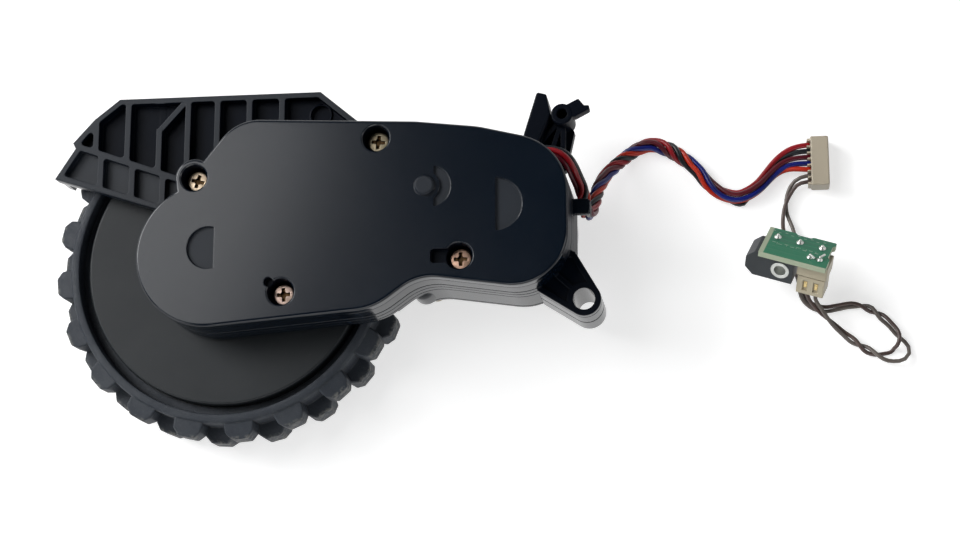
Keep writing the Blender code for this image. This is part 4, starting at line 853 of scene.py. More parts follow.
def palette():
    """Every finish: dark tone, light tone, roughness, then what sets it apart."""
    return {
        "casing": plastic("casing_charcoal", (0.0016, 0.0048, 0.0105), (0.0026, 0.0064, 0.0130), 0.16,
                          level=0.36, grain=6500.0, bump=0.012, worn=(0.030, 0.036, 0.044), wear=0.3,
                          dust=0.008, matt=0.55),
        # painted shade: a darker, barely reflecting copy of the casing plastic, laid on faces where shade
        # falls
        "painted_shade": plastic("casing_painted_shade", (0.0010, 0.0024, 0.0060), (0.0020, 0.0038, 0.0085), 0.42,
                          level=0.07, grain=5000.0, bump=0.05, worn=(0.012, 0.016, 0.024), wear=0.2,
                          dust=0.004),
        "hub": plastic("hub_grey", (0.012, 0.0145, 0.0170), (0.016, 0.0190, 0.0215), 0.40, level=0.22,
                       grain=6000.0, bump=0.03, dust=0.015, wear=0.3),
        "rubber": rubber("tyre_rubber_mottled"),
        "copper": screw_plating("screw_plating"),
        # painted shade: darker brown copper for the inside of the screws' cross recesses
        "recess": metal("screw_recess_painted_shade", (0.05, 0.028, 0.012), (0.16, 0.095, 0.045), 0.55),
        "steel": metal("bright_steel", (0.35, 0.35, 0.34), (0.72, 0.72, 0.71), 0.26),
        "bronze": metal("sintered_bronze_grain", (0.30, 0.19, 0.09), (0.56, 0.42, 0.24), 0.48),
        "brass": metal("turned_brass", (0.42, 0.29, 0.10), (0.76, 0.60, 0.30), 0.3),
        "solder": metal("tin_solder", (0.34, 0.36, 0.34), (0.66, 0.68, 0.65), 0.42, tarnish=0.5),
        "acetal": plastic("acetal_white", (0.66, 0.64, 0.58), (0.74, 0.72, 0.66), 0.38, grain=2400.0,
                          wear=0.1),
        "black": plastic("switch_black", (0.011, 0.016, 0.020), (0.020, 0.026, 0.031), 0.40, level=0.45,
                         grain=5200.0),
        "ferrite": plastic("ferrite_grey", (0.045, 0.045, 0.050), (0.070, 0.070, 0.072), 0.55,
                           grain=6000.0),
        "board": circuit_board("board_lacquer"),
        "cream": plastic("nylon_cream", (0.42, 0.365, 0.275), (0.50, 0.44, 0.34), 0.42, grain=2600.0,
                         edge=0.2, worn=(0.72, 0.66, 0.54), wear=0.5, dust=0.05),
        "ivory": plastic("nylon_ivory", (0.46, 0.405, 0.285), (0.54, 0.485, 0.36), 0.38, grain=2600.0,
                         edge=0.15, worn=(0.74, 0.69, 0.57), wear=0.5, dust=0.04),
        "mark": plastic("board_mark_white", (0.20, 0.34, 0.25), (0.32, 0.46, 0.36), 0.5, grain=7000.0,
                        edge=0.02, wear=0.0),
        "crimson": wire_sheath("sheath_crimson", (0.22, 0.003, 0.008), (0.32, 0.007, 0.014)),
        "scarlet": wire_sheath("sheath_scarlet", (0.42, 0.016, 0.004), (0.55, 0.032, 0.010)),
        "navy": wire_sheath("sheath_navy", (0.002, 0.006, 0.11), (0.005, 0.012, 0.19)),
        "maroon": wire_sheath("sheath_maroon", (0.060, 0.002, 0.008), (0.105, 0.005, 0.014)),
        "jet": wire_sheath("sheath_jet", (0.004, 0.005, 0.008), (0.011, 0.013, 0.017)),
        "umber": wire_sheath("sheath_umber", (0.065, 0.040, 0.036), (0.105, 0.074, 0.066)),
        "taupe": wire_sheath("sheath_taupe", (0.105, 0.088, 0.078), (0.16, 0.138, 0.122)),
    }


MATS = palette()


# Studio

def place_camera():
    data = bpy.data.cameras.new("photo_camera")
    data.lens = LENS
    data.sensor_width = SENSOR
    camera = bpy.data.objects.new("photo_camera", data)
    look, up = Vector(CAMERA_LOOK).normalized(), Vector(CAMERA_UP).normalized()
    right = look.cross(up).normalized()
    up = right.cross(look)
    turn = Matrix((right, up, -look)).transposed().to_4x4()
    camera.matrix_world = Matrix.Translation(Vector(CAMERA_PLACE) * MM) @ turn
    bpy.context.scene.collection.objects.link(camera)
    bpy.context.scene.camera = camera


def pale_stage(name, shade, glow):
    """White for the eye and in reflections, with the object's shadow kept."""
    material, graph, shader = new_material(name)
    place = graph.place()
    cloud = graph.noise(place, 3.0, 2.0)
    shader.inputs["Roughness"].default_value = 0.9
    shader.inputs["Specular IOR Level"].default_value = 0.0
    graph.feed(shader.inputs["Base Color"], graph.blend(cloud, (shade, shade, shade), (shade + 0.02,) * 3))
    path = graph.add("ShaderNodeLightPath").outputs
    seen = graph.sum("MAXIMUM", path["Is Camera Ray"], graph.sum("MAXIMUM", path["Is Glossy Ray"],
                                                                 path["Is Transmission Ray"]))
    shader.inputs["Emission Color"].default_value = (1.0, 1.0, 1.0, 1.0)
    graph.feed(shader.inputs["Emission Strength"], graph.times(seen, glow))
    return material


def lamp(name, place, size, power):
    """A rectangular light that faces the object."""
    data = bpy.data.lights.new(name, "AREA")
    data.shape = "RECTANGLE"
    data.size = size[0] * MM
    data.size_y = size[1] * MM
    data.energy = power
    item = bpy.data.objects.new(name, data)
    start = Vector(place) * MM
    way = Vector(LAMP_AIM) * MM - start
    item.matrix_world = Matrix.Translation(start) @ way.to_track_quat("-Z", "Y").to_matrix().to_4x4()
    bpy.context.scene.collection.objects.link(item)


def build_studio():
    """White floor and backdrop, soft lamps and a faint cool sky."""
    square = [(-STAGE_HALF, -STAGE_HALF), (STAGE_HALF, -STAGE_HALF), (STAGE_HALF, STAGE_HALF),
              (-STAGE_HALF, STAGE_HALF)]
    floor = as_object("floor", prism(square, -5.0, -0.02))
    floor.data.materials.append(pale_stage("pale_floor", 0.64, 0.62))
    wall = as_object("backdrop", tube(BACKDROP_RADIUS, BACKDROP_RADIUS - 20.0, -4.0, BACKDROP_TOP, 64))
    wall.data.materials.append(pale_stage("pale_backdrop", 0.62, 0.6))
    for name, place, size, power in LAMPS:
        lamp(name, place, size, power)
    world = bpy.data.worlds.new("soft_room")
    bpy.context.scene.world = world
    world.use_nodes = True
    back = world.node_tree.nodes["Background"]
    back.inputs["Color"].default_value = SKY_COLOUR
    back.inputs["Strength"].default_value = SKY_STRENGTH
    bpy.context.scene.view_settings.view_transform = "Standard"


# Cords

def smooth_route(points, spacing):
    """Evenly spaced points of a smooth curve through a route."""
    fine = []
    ends = [Vector(points[0]) * 2 - Vector(points[1]), Vector(points[-1]) * 2 - Vector(points[-2])]
    knots = [ends[0]] + [Vector(p) for p in points] + [ends[1]]
    for a, b, c, d in zip(knots[:-3], knots[1:-2], knots[2:-1], knots[3:]):
        for i in range(10):
            t = i / 10.0
            fine.append(((b * 2) + (c - a) * t + (a * 2 - b * 5 + c * 4 - d) * t ** 2
                         + (b * 3 - a - c * 3 + d) * t ** 3) / 2.0)
    fine.append(knots[-2])
    total = sum((q - p).length for p, q in zip(fine, fine[1:]))
    count = round(total / spacing)
    result, walked, index = [], 0.0, 0
    for mark in [total * i / count for i in range(count + 1)]:
        while index < len(fine) - 2 and walked + (fine[index + 1] - fine[index]).length < mark:
            walked += (fine[index + 1] - fine[index]).length
            index += 1
        step = (fine[index + 1] - fine[index]).length
        result.append(fine[index].lerp(fine[index + 1], min(1.0, (mark - walked) / step)))
    return result


def travelling_frames(points):
    """Two side directions at each point, carried along without twist."""
    side = Vector((0.0, 0.0, 1.0))
    frames = []
    for i in range(len(points)):
        along = (points[min(i + 1, len(points) - 1)] - points[max(i - 1, 0)]).normalized()
        side = (side - along * side.dot(along)).normalized()
        frames.append((side.copy(), along.cross(side)))
    return frames


def twisted_strand(route, spacing, phase, twist, spread, start, end, reach, radius):
    """Centreline of one strand: it winds about the route and runs straight into its two ends.

    start and end are (point, direction away from the plug) or None; reach is how far from the end the
    strand leaves the twist. twist gives the turns made so far and spread the winding radius, both as
    (share of the route, value).
    """
    middle = smooth_route(route, spacing)
    frames = travelling_frames(middle)
    total = spacing * (len(middle) - 1)
    strand = []
    for i, (centre, (side, other)) in enumerate(zip(middle, frames)):
        walked = total * i / (len(middle) - 1)
        turn = math.radians(phase) + 2.0 * math.pi * eased(twist, walked / total)
        wide = eased(spread, walked / total)
        point = centre + side * (wide * math.cos(turn)) + other * (wide * math.sin(turn))
        point.z = max(point.z, radius + TABLE_CLEARANCE)
        for target, left in ((start, walked), (end, total - walked)):
            if target and left < reach:
                straight = Vector(target[0]) + Vector(target[1]) * left
                point = straight.lerp(point, smooth(left / reach))
        strand.append(point)
    return strand


def strand_piece(name, points, radius, material):
    """A wire as one smooth tube along its centreline."""
    data = bpy.data.curves.new(name, "CURVE")
    data.dimensions = "3D"
    data.bevel_depth = radius * MM
    data.bevel_resolution = 4
    data.use_fill_caps = True
    data.twist_mode = "MINIMUM"
    spline = data.splines.new("POLY")
    spline.points.add(len(points) - 1)
    for target, point in zip(spline.points, points):
        target.co = (*(point * MM), 1.0)
    spline.use_smooth = True
    data.materials.append(material)
    item = bpy.data.objects.new(name, data)
    bpy.context.scene.collection.objects.link(item)
    return item


def length_of(points):
    return sum((q - p).length for p, q in zip(points, points[1:])) * MM


def plug_way(index):
    """Where one wire goes into the seven-way plug."""
    y = HOUSING_CORNER[1] + HOUSING_LENGTH / 2.0 + ((PLUG_WAYS - 1) / 2.0 - index) * PLUG_PITCH
    return (PLUG_CORNER[0] + 0.6, y, PLUG_WIRE_Z)


def harness_run():
    """Points of the harness on its way round the casing's corner."""
    return [(*polar(CORD_CORNER, radius, angle), CORD_RUN_Z - drop) for radius, angle, drop in CORD_RUN]


def harness_centre():
    """Middle line of the harness: round the corner, then down and over the table."""
    return harness_run() + list(HARNESS_ROUTE)


def board_frame():
    turn = Matrix.Rotation(math.radians(BOARD_TURN), 4, "Z")
    roll = Matrix.Rotation(math.radians(BOARD_ROLL), 4, "Y")
    tilt = Matrix.Rotation(math.radians(-BOARD_TILT), 4, "X")
    return Matrix.Translation(Vector(BOARD_CENTRE) * MM) @ turn @ roll @ tilt


BOARD = board_frame()


def lead_plug_way(side):
    """Where a lead wire goes into the two-way plug, and the way it comes from."""
    inside = BOARD @ (Vector((HEADER_X + LEAD_WAY * side, 0.0, LEAD_PLUG_END + 0.5)) * MM)
    away = (BOARD.to_3x3() @ Vector((0.0, 0.0, -1.0))).normalized()
    return tuple(inside / MM), tuple(away)


def hang_loop(points):
    """Let a wire swing out of the bundle in one slack loop."""
    x, y, half, depth = SLACK_LOOP
    nearest = min(range(len(points)), key=lambda i: math.dist(points[i][:2], (x, y)))
    for i, point in enumerate(points):
        away = length_of(points[min(i, nearest):max(i, nearest) + 1]) / MM
        if away < half:
            point.y -= depth * (0.5 + 0.5 * math.cos(math.pi * away / half))
            point.z = max(point.z - 0.5, STRAND_RADIUS + TABLE_CLEARANCE)


def build_harness():
    """Five twisted motor wires that fan out into the plug."""
    strands = []
    for name, finish, phase, way in HARNESS_STRANDS:
        end = (plug_way(way), PLUG_SIDE)
        points = twisted_strand(harness_centre(), STRAND_STEP, phase, HARNESS_TWIST, HARNESS_SPREAD, None,
                                end, HARNESS_FAN, STRAND_RADIUS)
        if finish == "jet":
            hang_loop(points)
        strands.append((strand_piece(name, points, STRAND_RADIUS, MATS[finish]), points))
    return strands


def build_lead():
    """Two thin wires from the plug to the switch board."""
    strands = []
    for name, finish, phase, way, side in LEAD_STRANDS:
        start = (plug_way(way), PLUG_SIDE)
        points = twisted_strand(LEAD_ROUTE, STRAND_STEP, phase, LEAD_TWIST, LEAD_SPREAD, start,
                                lead_plug_way(side), LEAD_FAN, LEAD_STRAND_RADIUS)
        strands.append((strand_piece(name, points, LEAD_STRAND_RADIUS, MATS[finish]), points))
    return strands


# Casing

def casing_outline():
    """The casing from above: wheel lobe, belly, motor end and the ear round one screw."""
    lobe_end = 274.8
    corners = [polar(LOBE_CENTRE, LOBE_RADIUS, lobe_end)] + [c[:2] for c in OUTLINE_CORNERS]
    ear = arc(EAR_ARC_CENTRE, EAR_ARC_RADIUS, 62.0, 196.0, 22)
    corners.append(ear[0])
    points = arc(LOBE_CENTRE, LOBE_RADIUS, 117.5, lobe_end, 48)
    for i, (x, y, radius) in enumerate(OUTLINE_CORNERS):
        points += fillet(corners[i], (x, y), corners[i + 2], radius, 6 if radius > 15.0 else 18)
    return points + ear


OUTLINE = casing_outline()
ROOM = inset(OUTLINE, WALL)


def half_disc(centre, radius, edge, side):
    """A circle cut off by an upright line at a distance from its centre, with softened corners."""
    swing = math.degrees(math.acos(max(-1.0, min(1.0, edge / radius))))
    if side > 0:
        points = arc(centre, radius, -swing, swing, 20)
    else:
        points = arc(centre, radius, swing, 360.0 - swing, 22)
    first, last = points[0], points[-1]
    return points[1:-1] + fillet(points[-2], last, first, 0.3, 4) + fillet(last, first, points[1], 0.3, 4)


def cover_recesses():
    """Outlines of the shallow marks: one by the wheel, one by the motor, a crescent by the boss."""
    crescent_centre = (BOSS_AXIS[0] + 0.9, BOSS_AXIS[1] - 0.1)
    return (half_disc(WHEEL_AXIS, WHEEL_MARK_RADIUS, 1.3, -1),
            half_disc(MOTOR_AXIS, MOTOR_MARK_RADIUS, 0.0, 1),
            half_disc(crescent_centre, CRESCENT_RADIUS, 0.75, 1))


def cover_notch():
    """Middle of the round notch beside the third cover screw."""
    return polar(COVER_SCREWS[2], WELL_RADIUS + 0.5, NOTCH_ANGLE)


def screw_slot():
    """Adjusting slot beside the last cover screw."""
    x, y = COVER_SCREWS[3]
    return rounded([(x - 5.4, y - 1.3), (x, y - 1.3), (x, y + 1.5), (x - 5.4, y + 1.5)], 0.7, 5)


def in_well(place):
    """Whether a point lies in a screw well, the slot or the notch of the cover."""
    if place.z > COVER_TOP_Z - 0.32:
        return False
    x, y = COVER_SCREWS[3]
    if any(math.dist(place.xy, well) < WELL_RADIUS + 0.05 for well in COVER_SCREWS):
        return place.z > WELL_SEAT_Z - 0.1
    if x - 5.5 < place.x < x and y - 1.4 < place.y < y + 1.6:
        return place.z > COVER_TOP_Z - SLOT_DEPTH - 0.1
    in_notch = math.dist(place.xy, cover_notch()) < NOTCH_RADIUS + 0.1
    return in_notch and place.z > COVER_TOP_Z - NOTCH_DEPTH - 0.1


def dull_on_cover(place):
    """Whether a point is on a recess floor or on the boss."""
    if abs(place.z - COVER_TOP_Z + RECESS_DEPTH) < 0.02:
        return not in_well(place)
    return place.z > COVER_TOP_Z + 0.4


def build_cover():
    """Upper casing with its screw wells, marks, slot and boss."""
    low = PARTING_Z + GAP / 2.0
    cover = as_object("gearbox_cover_shell", prism(OUTLINE, low, COVER_TOP_Z, COVER_EDGE, 0.15, 6,
                                                   ((COVER_LINE, 0.35, 0.06),)))
    cut(cover, [prism(ROOM, low - 1.0, ROOF_Z)])
    posts = [rod(WELL_RADIUS + WELL_WALL, low + GAP / 2.0, ROOF_Z + 0.5, 40, place) for place in COVER_SCREWS]
    for place in (BOSS_AXIS, SECOND_AXIS, THIRD_AXIS):
        posts.append(rod(2.2, 25.5, ROOF_Z + 0.5, 24, place))
    posts.append(rod(4.6, 23.5, ROOF_Z + 0.5, 28))
    join(cover, posts)
    recess = COVER_TOP_Z - RECESS_DEPTH
    wheel_mark, motor_mark, crescent = cover_recesses()
    moon = as_object("moon", drafted(crescent, recess, COVER_TOP_Z + 1.0, 0.15))
    cut(moon, [rod(CRESCENT_INNER_RADIUS, recess - 1.0, COVER_TOP_Z + 2.0, 40, BOSS_AXIS)])
    holes = [take(moon)]
    for mark in (wheel_mark, motor_mark):
        holes.append(drafted(mark, recess, COVER_TOP_Z + 1.0, 0.2))
    for place in COVER_SCREWS:
        holes.append(rod(WELL_RADIUS, WELL_SEAT_Z, COVER_TOP_Z + 1.0, 56, place))
        holes.append(rod(SCREW_RADIUS + GAP, low - 1.0, WELL_SEAT_Z + 1.0, 20, place))
        holes.append(rings_solid([at_level(circle(place, WELL_RADIUS - 0.05, 56), COVER_TOP_Z - 0.3),
                                  at_level(circle(place, WELL_RADIUS + 0.35, 56), COVER_TOP_Z + 0.1)]))
    holes.append(rod(NOTCH_RADIUS, COVER_TOP_Z - NOTCH_DEPTH, COVER_TOP_Z + 1.0, 24, cover_notch()))
    holes.append(prism(screw_slot(), COVER_TOP_Z - SLOT_DEPTH, COVER_TOP_Z + 1.0))
    cut(cover, holes)
    boss_top = COVER_TOP_Z + BOSS_HEIGHT
    boss = [(BOSS_MARK_RADIUS, ROOF_Z + 0.5), (BOSS_MARK_RADIUS, boss_top - 0.4),
            (BOSS_MARK_RADIUS - 0.1, boss_top - 0.25), (BOSS_MARK_RADIUS - 0.35, boss_top)]
    join(cover, [rings_solid([at_level(circle(BOSS_AXIS, radius, 48), z) for radius, z in boss])])
    shaded(cover, MATS["casing"])
    # painted shade on the screw wells, the slot, the notch and the end wall behind the harness
    lined(matted(cover, dull_on_cover), MATS["painted_shade"],
          lambda place, normal: in_well(place) or place.y > -3.5 and on_far_end(place, normal))
    return hand_over(cover, "gearcase", "charcoal_plastic", "gearbox_cover")


def fender_cells():
    """The hollows between the ribs of the mud guard."""
    rim = inset(FENDER_OUTLINE, RIB)
    start, end = Vector(FENDER_DIVIDER[0]), Vector(FENDER_DIVIDER[1])
    along = (end - start).normalized()
    up = Vector((-along.y, along.x))
    middle = start.dot(up)
    top = FENDER_TOP_Z + 0.5
    deep_zone = clip(rim, (-up.x, -up.y), -middle - RIB / 2.0)
    shallow_zone = clip(rim, (up.x, up.y), middle - RIB / 2.0)
    zones = ((deep_zone, DEEP_RIBS, FLOOR_Z + FENDER_WEB),
             (shallow_zone, SHALLOW_RIBS, FENDER_TOP_Z - SHALLOW_DEPTH))
    cells = []
    for zone, ribs, floor in zones:
        edges = [-100.0] + list(ribs) + [100.0]
        for left, right in zip(edges[:-1], edges[1:]):
            cell = clip(clip(zone, (-1.0, 0.0), -left - RIB / 2.0), (1.0, 0.0), right - RIB / 2.0)
            cell = [p for p, q in zip(cell, cell[1:] + cell[:1]) if math.dist(p, q) > 0.8]
            if len(cell) > 2:
                cells.append(drafted(rounded(cell, 0.6, 4), floor, top, 0.08))
    return cells


def build_fender():
    """Mud guard plate with its ribs, socket and the lip round the tyre."""
    fender = as_object("fender", prism(FENDER_OUTLINE, FLOOR_Z, FENDER_TOP_Z, 0.2, 0.2, 2))
    cut(fender, fender_cells())
    web_top = FLOOR_Z + FENDER_WEB
    cut(fender, [prism([(-13.95, 26.9), (-12.45, 26.9), (-12.45, 32.1), (-13.95, 32.1)], web_top + 0.02,
                       FENDER_TOP_Z + 1.0)])
    join(fender, [bar(BRANCH_RIB[0], BRANCH_RIB[1], RIB, web_top - 0.5, FENDER_TOP_Z - 0.03)])
    join(fender, [rod(SOCKET_RADIUS + 0.35, web_top - 0.5, web_top + 0.35, 40, FENDER_SOCKET, top_round=0.2)])
    cut(fender, [rod(SOCKET_RADIUS, FLOOR_Z + 0.4, FENDER_TOP_Z + 1.0, 40, FENDER_SOCKET)])
    lip = as_object("lip", tube(GUARD_LIP[1], GUARD_LIP[0], GUARD_LIP_Z, FLOOR_Z + FENDER_WEB / 2.0, 160))
    boolean(lip, [prism(inset(FENDER_OUTLINE, 0.15), GUARD_LIP_Z - 1.0, FENDER_TOP_Z)], "INTERSECT")
    return fender, lip


def in_guard_cell(place):
    """Whether a face is the floor or the foot of a wall in one of the guard's deep cells."""
    start, end = Vector(FENDER_DIVIDER[0]), Vector(FENDER_DIVIDER[1])
    along = (end - start).normalized()
    above = (place.xy - start).dot(Vector((-along.y, along.x)))
    inside = place.y > 14.0 and above > 0.2 and math.dist(place.xy, (0.0, 0.0)) < 45.0 and place.x < 30.0
    return inside and FLOOR_Z + 0.3 < place.z < FENDER_TOP_Z - 0.4


def dull_on_guard(place):
    """Whether a point is on the guard's rib tops, a shallow cell's floor or the ring of the post."""
    if math.dist(place.xy, POST_CENTRE) < POST_RADIUS + 0.05:
        return place.z > EAR_TOP_Z - 0.35
    if place.y < 4.0 or place.x > 30.0 or place.z > FENDER_TOP_Z + 0.05:
        return False
    on_shallow_floor = abs(place.z - FENDER_TOP_Z + SHALLOW_DEPTH) < 0.03 and place.x < 0.0
    return place.z > FENDER_TOP_Z - 0.25 or on_shallow_floor


def build_ear():
    """Pivot ear: tangent plate round the pin hole, parted by a groove, with a ribbed pocket."""
    root_high, root_low = EAR_ROOTS
    round_end = arc(EAR_HOLE, EAR_RADIUS, -122.0, 24.0, 24)
    outline = [(62.0, -3.0), root_low] + round_end + [root_high, (66.0, 1.0)]
    mid = (LID_Z + EAR_TOP_Z) / 2.0
    ear = as_object("ear", prism(outline, LID_Z, mid - GAP, 0.0, 0.4, 3))
    join(ear, [prism(inset(outline, 0.35), mid - 1.0, mid + 1.0),
               prism(outline, mid + GAP, EAR_TOP_Z, 0.3, 0.0, 3, ((18.2, 0.35, 0.12),))])
    lid_room = LID_Z + LID_THICKNESS + 2.0 * GAP
    cut(ear, [prism(inset(OUTLINE, -GAP), LID_Z - 1.0, lid_room),
              rod(BOSS_RADIUS + GAP, LID_Z - 1.0, lid_room, 32, CAP_SCREWS[2])])
    pocket = inset([(61.0, -5.5), root_low, round_end[0], round_end[-1], root_high, (66.5, -1.0)], RIB)
    well = as_object("well", prism(pocket, EAR_TOP_Z - 0.4, EAR_TOP_Z + 1.0))
    cut(well, [rod(EAR_RADIUS, EAR_TOP_Z - 4.0, EAR_TOP_Z + 2.0, 48, EAR_HOLE)])
    cut(well, [bar((64.6, -4.2), EAR_HOLE, RIB * 0.8, EAR_TOP_Z - 4.0, EAR_TOP_Z + 2.0)])
    return ear, well


def build_bracket():
    """Fin, web, ribs, tubular post and hook arm at the corner over the motor."""
    bracket = as_object("bracket", prism(rounded(WEB_OUTLINE, 0.4, 3), BRACKET_Z, BRACKET_Z + BRACKET_WEB))
    shapes = [prism(rounded(FIN_OUTLINE, 0.45, 4), BRACKET_Z - 0.5, EAR_TOP_Z - 0.5, 0.35, 0.0, 3)]
    shapes.append(rod(POST_RADIUS, BRACKET_Z + 0.3, EAR_TOP_Z, 40, POST_CENTRE, top_round=0.3))
    shapes.append(prism(rounded(HOOK_OUTLINE, 0.3, 3), EAR_TOP_Z - HOOK_THICKNESS, EAR_TOP_Z - 0.05, 0.2, 0.2,
                        2))
    for root in BRACKET_ROOTS:
        shapes.append(bar(root, POST_CENTRE, RIB * 0.8, BRACKET_Z + 0.5, BRACKET_RIB_Z + 0.2))
    join(bracket, shapes)
    run = [point[:2] for point in harness_run()]
    middles = [((a[0] + b[0]) / 2.0, (a[1] + b[1]) / 2.0) for a, b in zip(run, run[1:])]
    channel = []
    for place in run + middles:
        channel.append(rod(HARNESS_RADIUS + GAP, BRACKET_RIB_Z + 0.2, EAR_TOP_Z + 1.0, 32, place))
    cut(bracket, channel + [rod(POST_HOLE_RADIUS, BRACKET_Z + 1.4, EAR_TOP_Z + 1.0, 28, POST_CENTRE)])
    return bracket


def wire_hook():
    """Roof and lip that hold the harness against the casing wall."""
    left, low, right, high = HOOK_BLOCK
    roof = prism(rounded([(left, low), (right, low), (right, high), (left, high)], 0.8, 4), HOOK_ROOF_Z,
                 HOOK_ROOF_Z + 1.0, 0.3, 0.1, 3)
    inner = right - HOOK_LIP
    lip_outline = [(inner, low + 0.2), (right, low + 0.2), (right, high - 0.2), (inner, high - 0.2)]
    lip = prism(rounded(lip_outline, 0.3, 3), HOOK_ROOF_Z - 2.6, HOOK_ROOF_Z + 0.5, 0.0, 0.2, 3)
    return roof, lip


def belly_step(low):
    """The wedge by the wheel where the casing's wall stops higher up, round the foot of the screw column."""
    outline = [(31.0, -18.0), (BELLY_STEP_X, -18.0), (BELLY_STEP_X, -1.0), (31.0, -1.0)]
    return prism(outline, low, BELLY_STEP_Z)


def on_far_end(place, normal):
    """Whether a face belongs to the casing's end wall behind the harness, where shade is painted."""
    if place.y > 8.0 and normal.z > 0.5 and 17.0 < place.z < PARTING_Z and place.x > 60.0:
        return True
    return place.x > 62.0 and -3.5 < place.y < 22.0 and normal.x > 0.35 and abs(normal.z) < 0.5


def painted_shade_on_base(place, normal):
    """Whether a face gets painted shade: in a deep guard cell, on the ear's top, or on the fin, web and hook
    arm.
    """
    if in_guard_cell(place):
        return True
    outside = place.x > 58.0 and (place.y < -3.0 or place.y > 19.0) and place.z > BRACKET_Z - 3.0
    post_reach = math.dist(place.xy, POST_CENTRE)
    if post_reach < POST_HOLE_RADIUS + 0.02:
        return True
    post_ring = post_reach < POST_RADIUS + 0.05 and place.z > EAR_TOP_Z - 0.4
    if on_far_end(place, normal):
        return True
    if place.x > 58.0 and place.y > 18.0:
        return outside and normal.z > -0.5 and not post_ring
    return outside and normal.z > 0.5 and place.z > EAR_TOP_Z - 3.2


def build_base():
    """Lower casing in one moulding with the mud guard, the ear and the bracket."""
    rim_z = PARTING_Z - GAP / 2.0
    base = as_object("gearbox_base_shell", prism(OUTLINE, LID_Z + LID_THICKNESS + GAP, rim_z, 0.15, 0.15, 2,
                                                 [(z, 0.4, 0.08) for z in BASE_LINES]))
    cut(base, [rod(WHEEL_ROOM, -1.0, FLOOR_Z, 160)])
    fender, lip = build_fender()
    ear, well = build_ear()
    column_low = LID_Z + LID_THICKNESS + 2.0 * GAP
    join(base, [take(fender), take(lip), take(ear), take(build_bracket())])
    join(base, [rod(BOSS_RADIUS, column_low, DECK_TOP - GAP, 40, CAP_SCREWS[i]) for i in (0, 2)])
    rooms = [prism(ROOM, DECK_TOP, rim_z + 1.0), rod(12.4, FLOOR_TOP + 0.1, rim_z + 2.0, 48)]
    upper = as_object("upper", prism(inset(OUTLINE, WALL + 0.1), FLOOR_TOP, DECK_TOP + 0.5))
    boolean(upper, [rod(WHEEL_ROOM, FLOOR_TOP - 1.0, DECK_TOP + 1.0, 160)], "INTERSECT")
    lower = as_object("lower", prism(ROOM, LID_Z - 1.0, DECK_Z))
    cut(lower, [rod(WHEEL_ROOM + WALL, LID_Z - 2.0, DECK_Z + 1.0, 160),
                prism([(30.0, -20.0), (BELLY_STEP_X + WALL, -20.0), (BELLY_STEP_X + WALL, 0.0), (30.0, 0.0)],
                      LID_Z - 2.0, DECK_Z + 1.0)])
    cut(lower, [rod(BOSS_RADIUS, LID_Z - 2.0, DECK_Z + 1.0, 40, place) for place in CAP_SCREWS])
    motor_room = rod(MOTOR_RADIUS + GAP, LID_Z - 1.0, DECK_Z - 0.1, 72, MOTOR_AXIS)
    cut(base, rooms + [take(upper), take(lower), take(well), motor_room])
    posts = []
    for place in COVER_SCREWS:
        seated = FLOOR_TOP if math.hypot(*place) < WHEEL_ROOM + WELL_RADIUS else DECK_TOP
        posts.append(rod(SCREW_RADIUS + GAP + 0.9, seated - 0.5, PARTING_Z, 24, place))
    join(base, posts)
    holes = [rod(EAR_HOLE_RADIUS, LID_Z - 1.0, EAR_TOP_Z + 1.0, 48, EAR_HOLE)]
    for place in COVER_SCREWS:
        holes.append(rod(SCREW_RADIUS + GAP, DECK_Z, PARTING_Z + 1.0, 16, place))
    for place in CAP_SCREWS:
        holes.append(rod(SCREW_RADIUS + GAP, LID_Z, LID_Z + 7.5, 16, place))
    holes.append(rod(4.4, FLOOR_Z - 1.0, FLOOR_TOP + 1.0, 32))
    holes.append(rod(3.3, DECK_Z - 1.0, DECK_TOP + 1.0, 24, MOTOR_AXIS))
    cut(base, holes)
    notch = []
    for point in harness_run()[:5]:
        notch.append(rod(HARNESS_RADIUS + 2.0 * GAP, CORD_RUN_Z - HARNESS_RADIUS - GAP, PARTING_Z + 1.0, 24,
                         point[:2]))
    cut(base, notch)
    join(base, list(wire_hook()))
    cut(base, [belly_step(LID_Z - 1.0)])
    join(base, [rod(COLUMN_RADIUS, column_low, COLUMN_TOP_Z, 40, COLUMN_FOOT, top_round=1.9,
                    bottom_round=0.3)])
    shaded(base, MATS["casing"])
    # painted shade on the deep guard cells, the ear's top, the fin, web, hook arm, post hole and end wall
    lined(matted(base, dull_on_guard), MATS["painted_shade"], painted_shade_on_base)
    return hand_over(base, "gearcase", "charcoal_plastic", "gearbox_base")


def build_cap():
    """Lid under the motor with the cup that holds the motor's rear end."""
    high = LID_Z + LID_THICKNESS
    cup = MOTOR_RADIUS + 2.0 * GAP + CUP_WALL
    lid = as_object("motor_cap_shell", prism(OUTLINE, LID_Z, high, 0.0, 0.25, 3))
    cut(lid, [rod(WHEEL_ROOM + GAP, LID_Z - 1.0, high + 1.0, 160)])
    join(lid, [rod(cup, 0.0, LID_Z + 0.5, 96, MOTOR_AXIS, bottom_round=0.6)])
    join(lid, [rod(BOSS_RADIUS, LID_Z + 0.2, high - 0.2, 40, CAP_SCREWS[i]) for i in (0, 2)])
    cut(lid, [rod(cup - CUP_WALL, LID_THICKNESS, high + 1.0, 96, MOTOR_AXIS)])
    cut(lid, [rod(SCREW_RADIUS + GAP, LID_Z - 1.0, high + 1.0, 24, place) for place in CAP_SCREWS])
    cut(lid, [belly_step(LID_Z - 1.0)])
    return hand_over(shaded(lid, MATS["casing"]), "gearcase", "charcoal_plastic", "motor_cap")


# Repeats by geometry nodes

def finished(graph, out, geometry, finish):
    """End a tree: give the pieces their finish and pass them on."""
    done = graph.add("GeometryNodeSetMaterial", None, {"Geometry": geometry, "Material": finish})
    graph.feed(out["Pieces"], done.outputs[0])


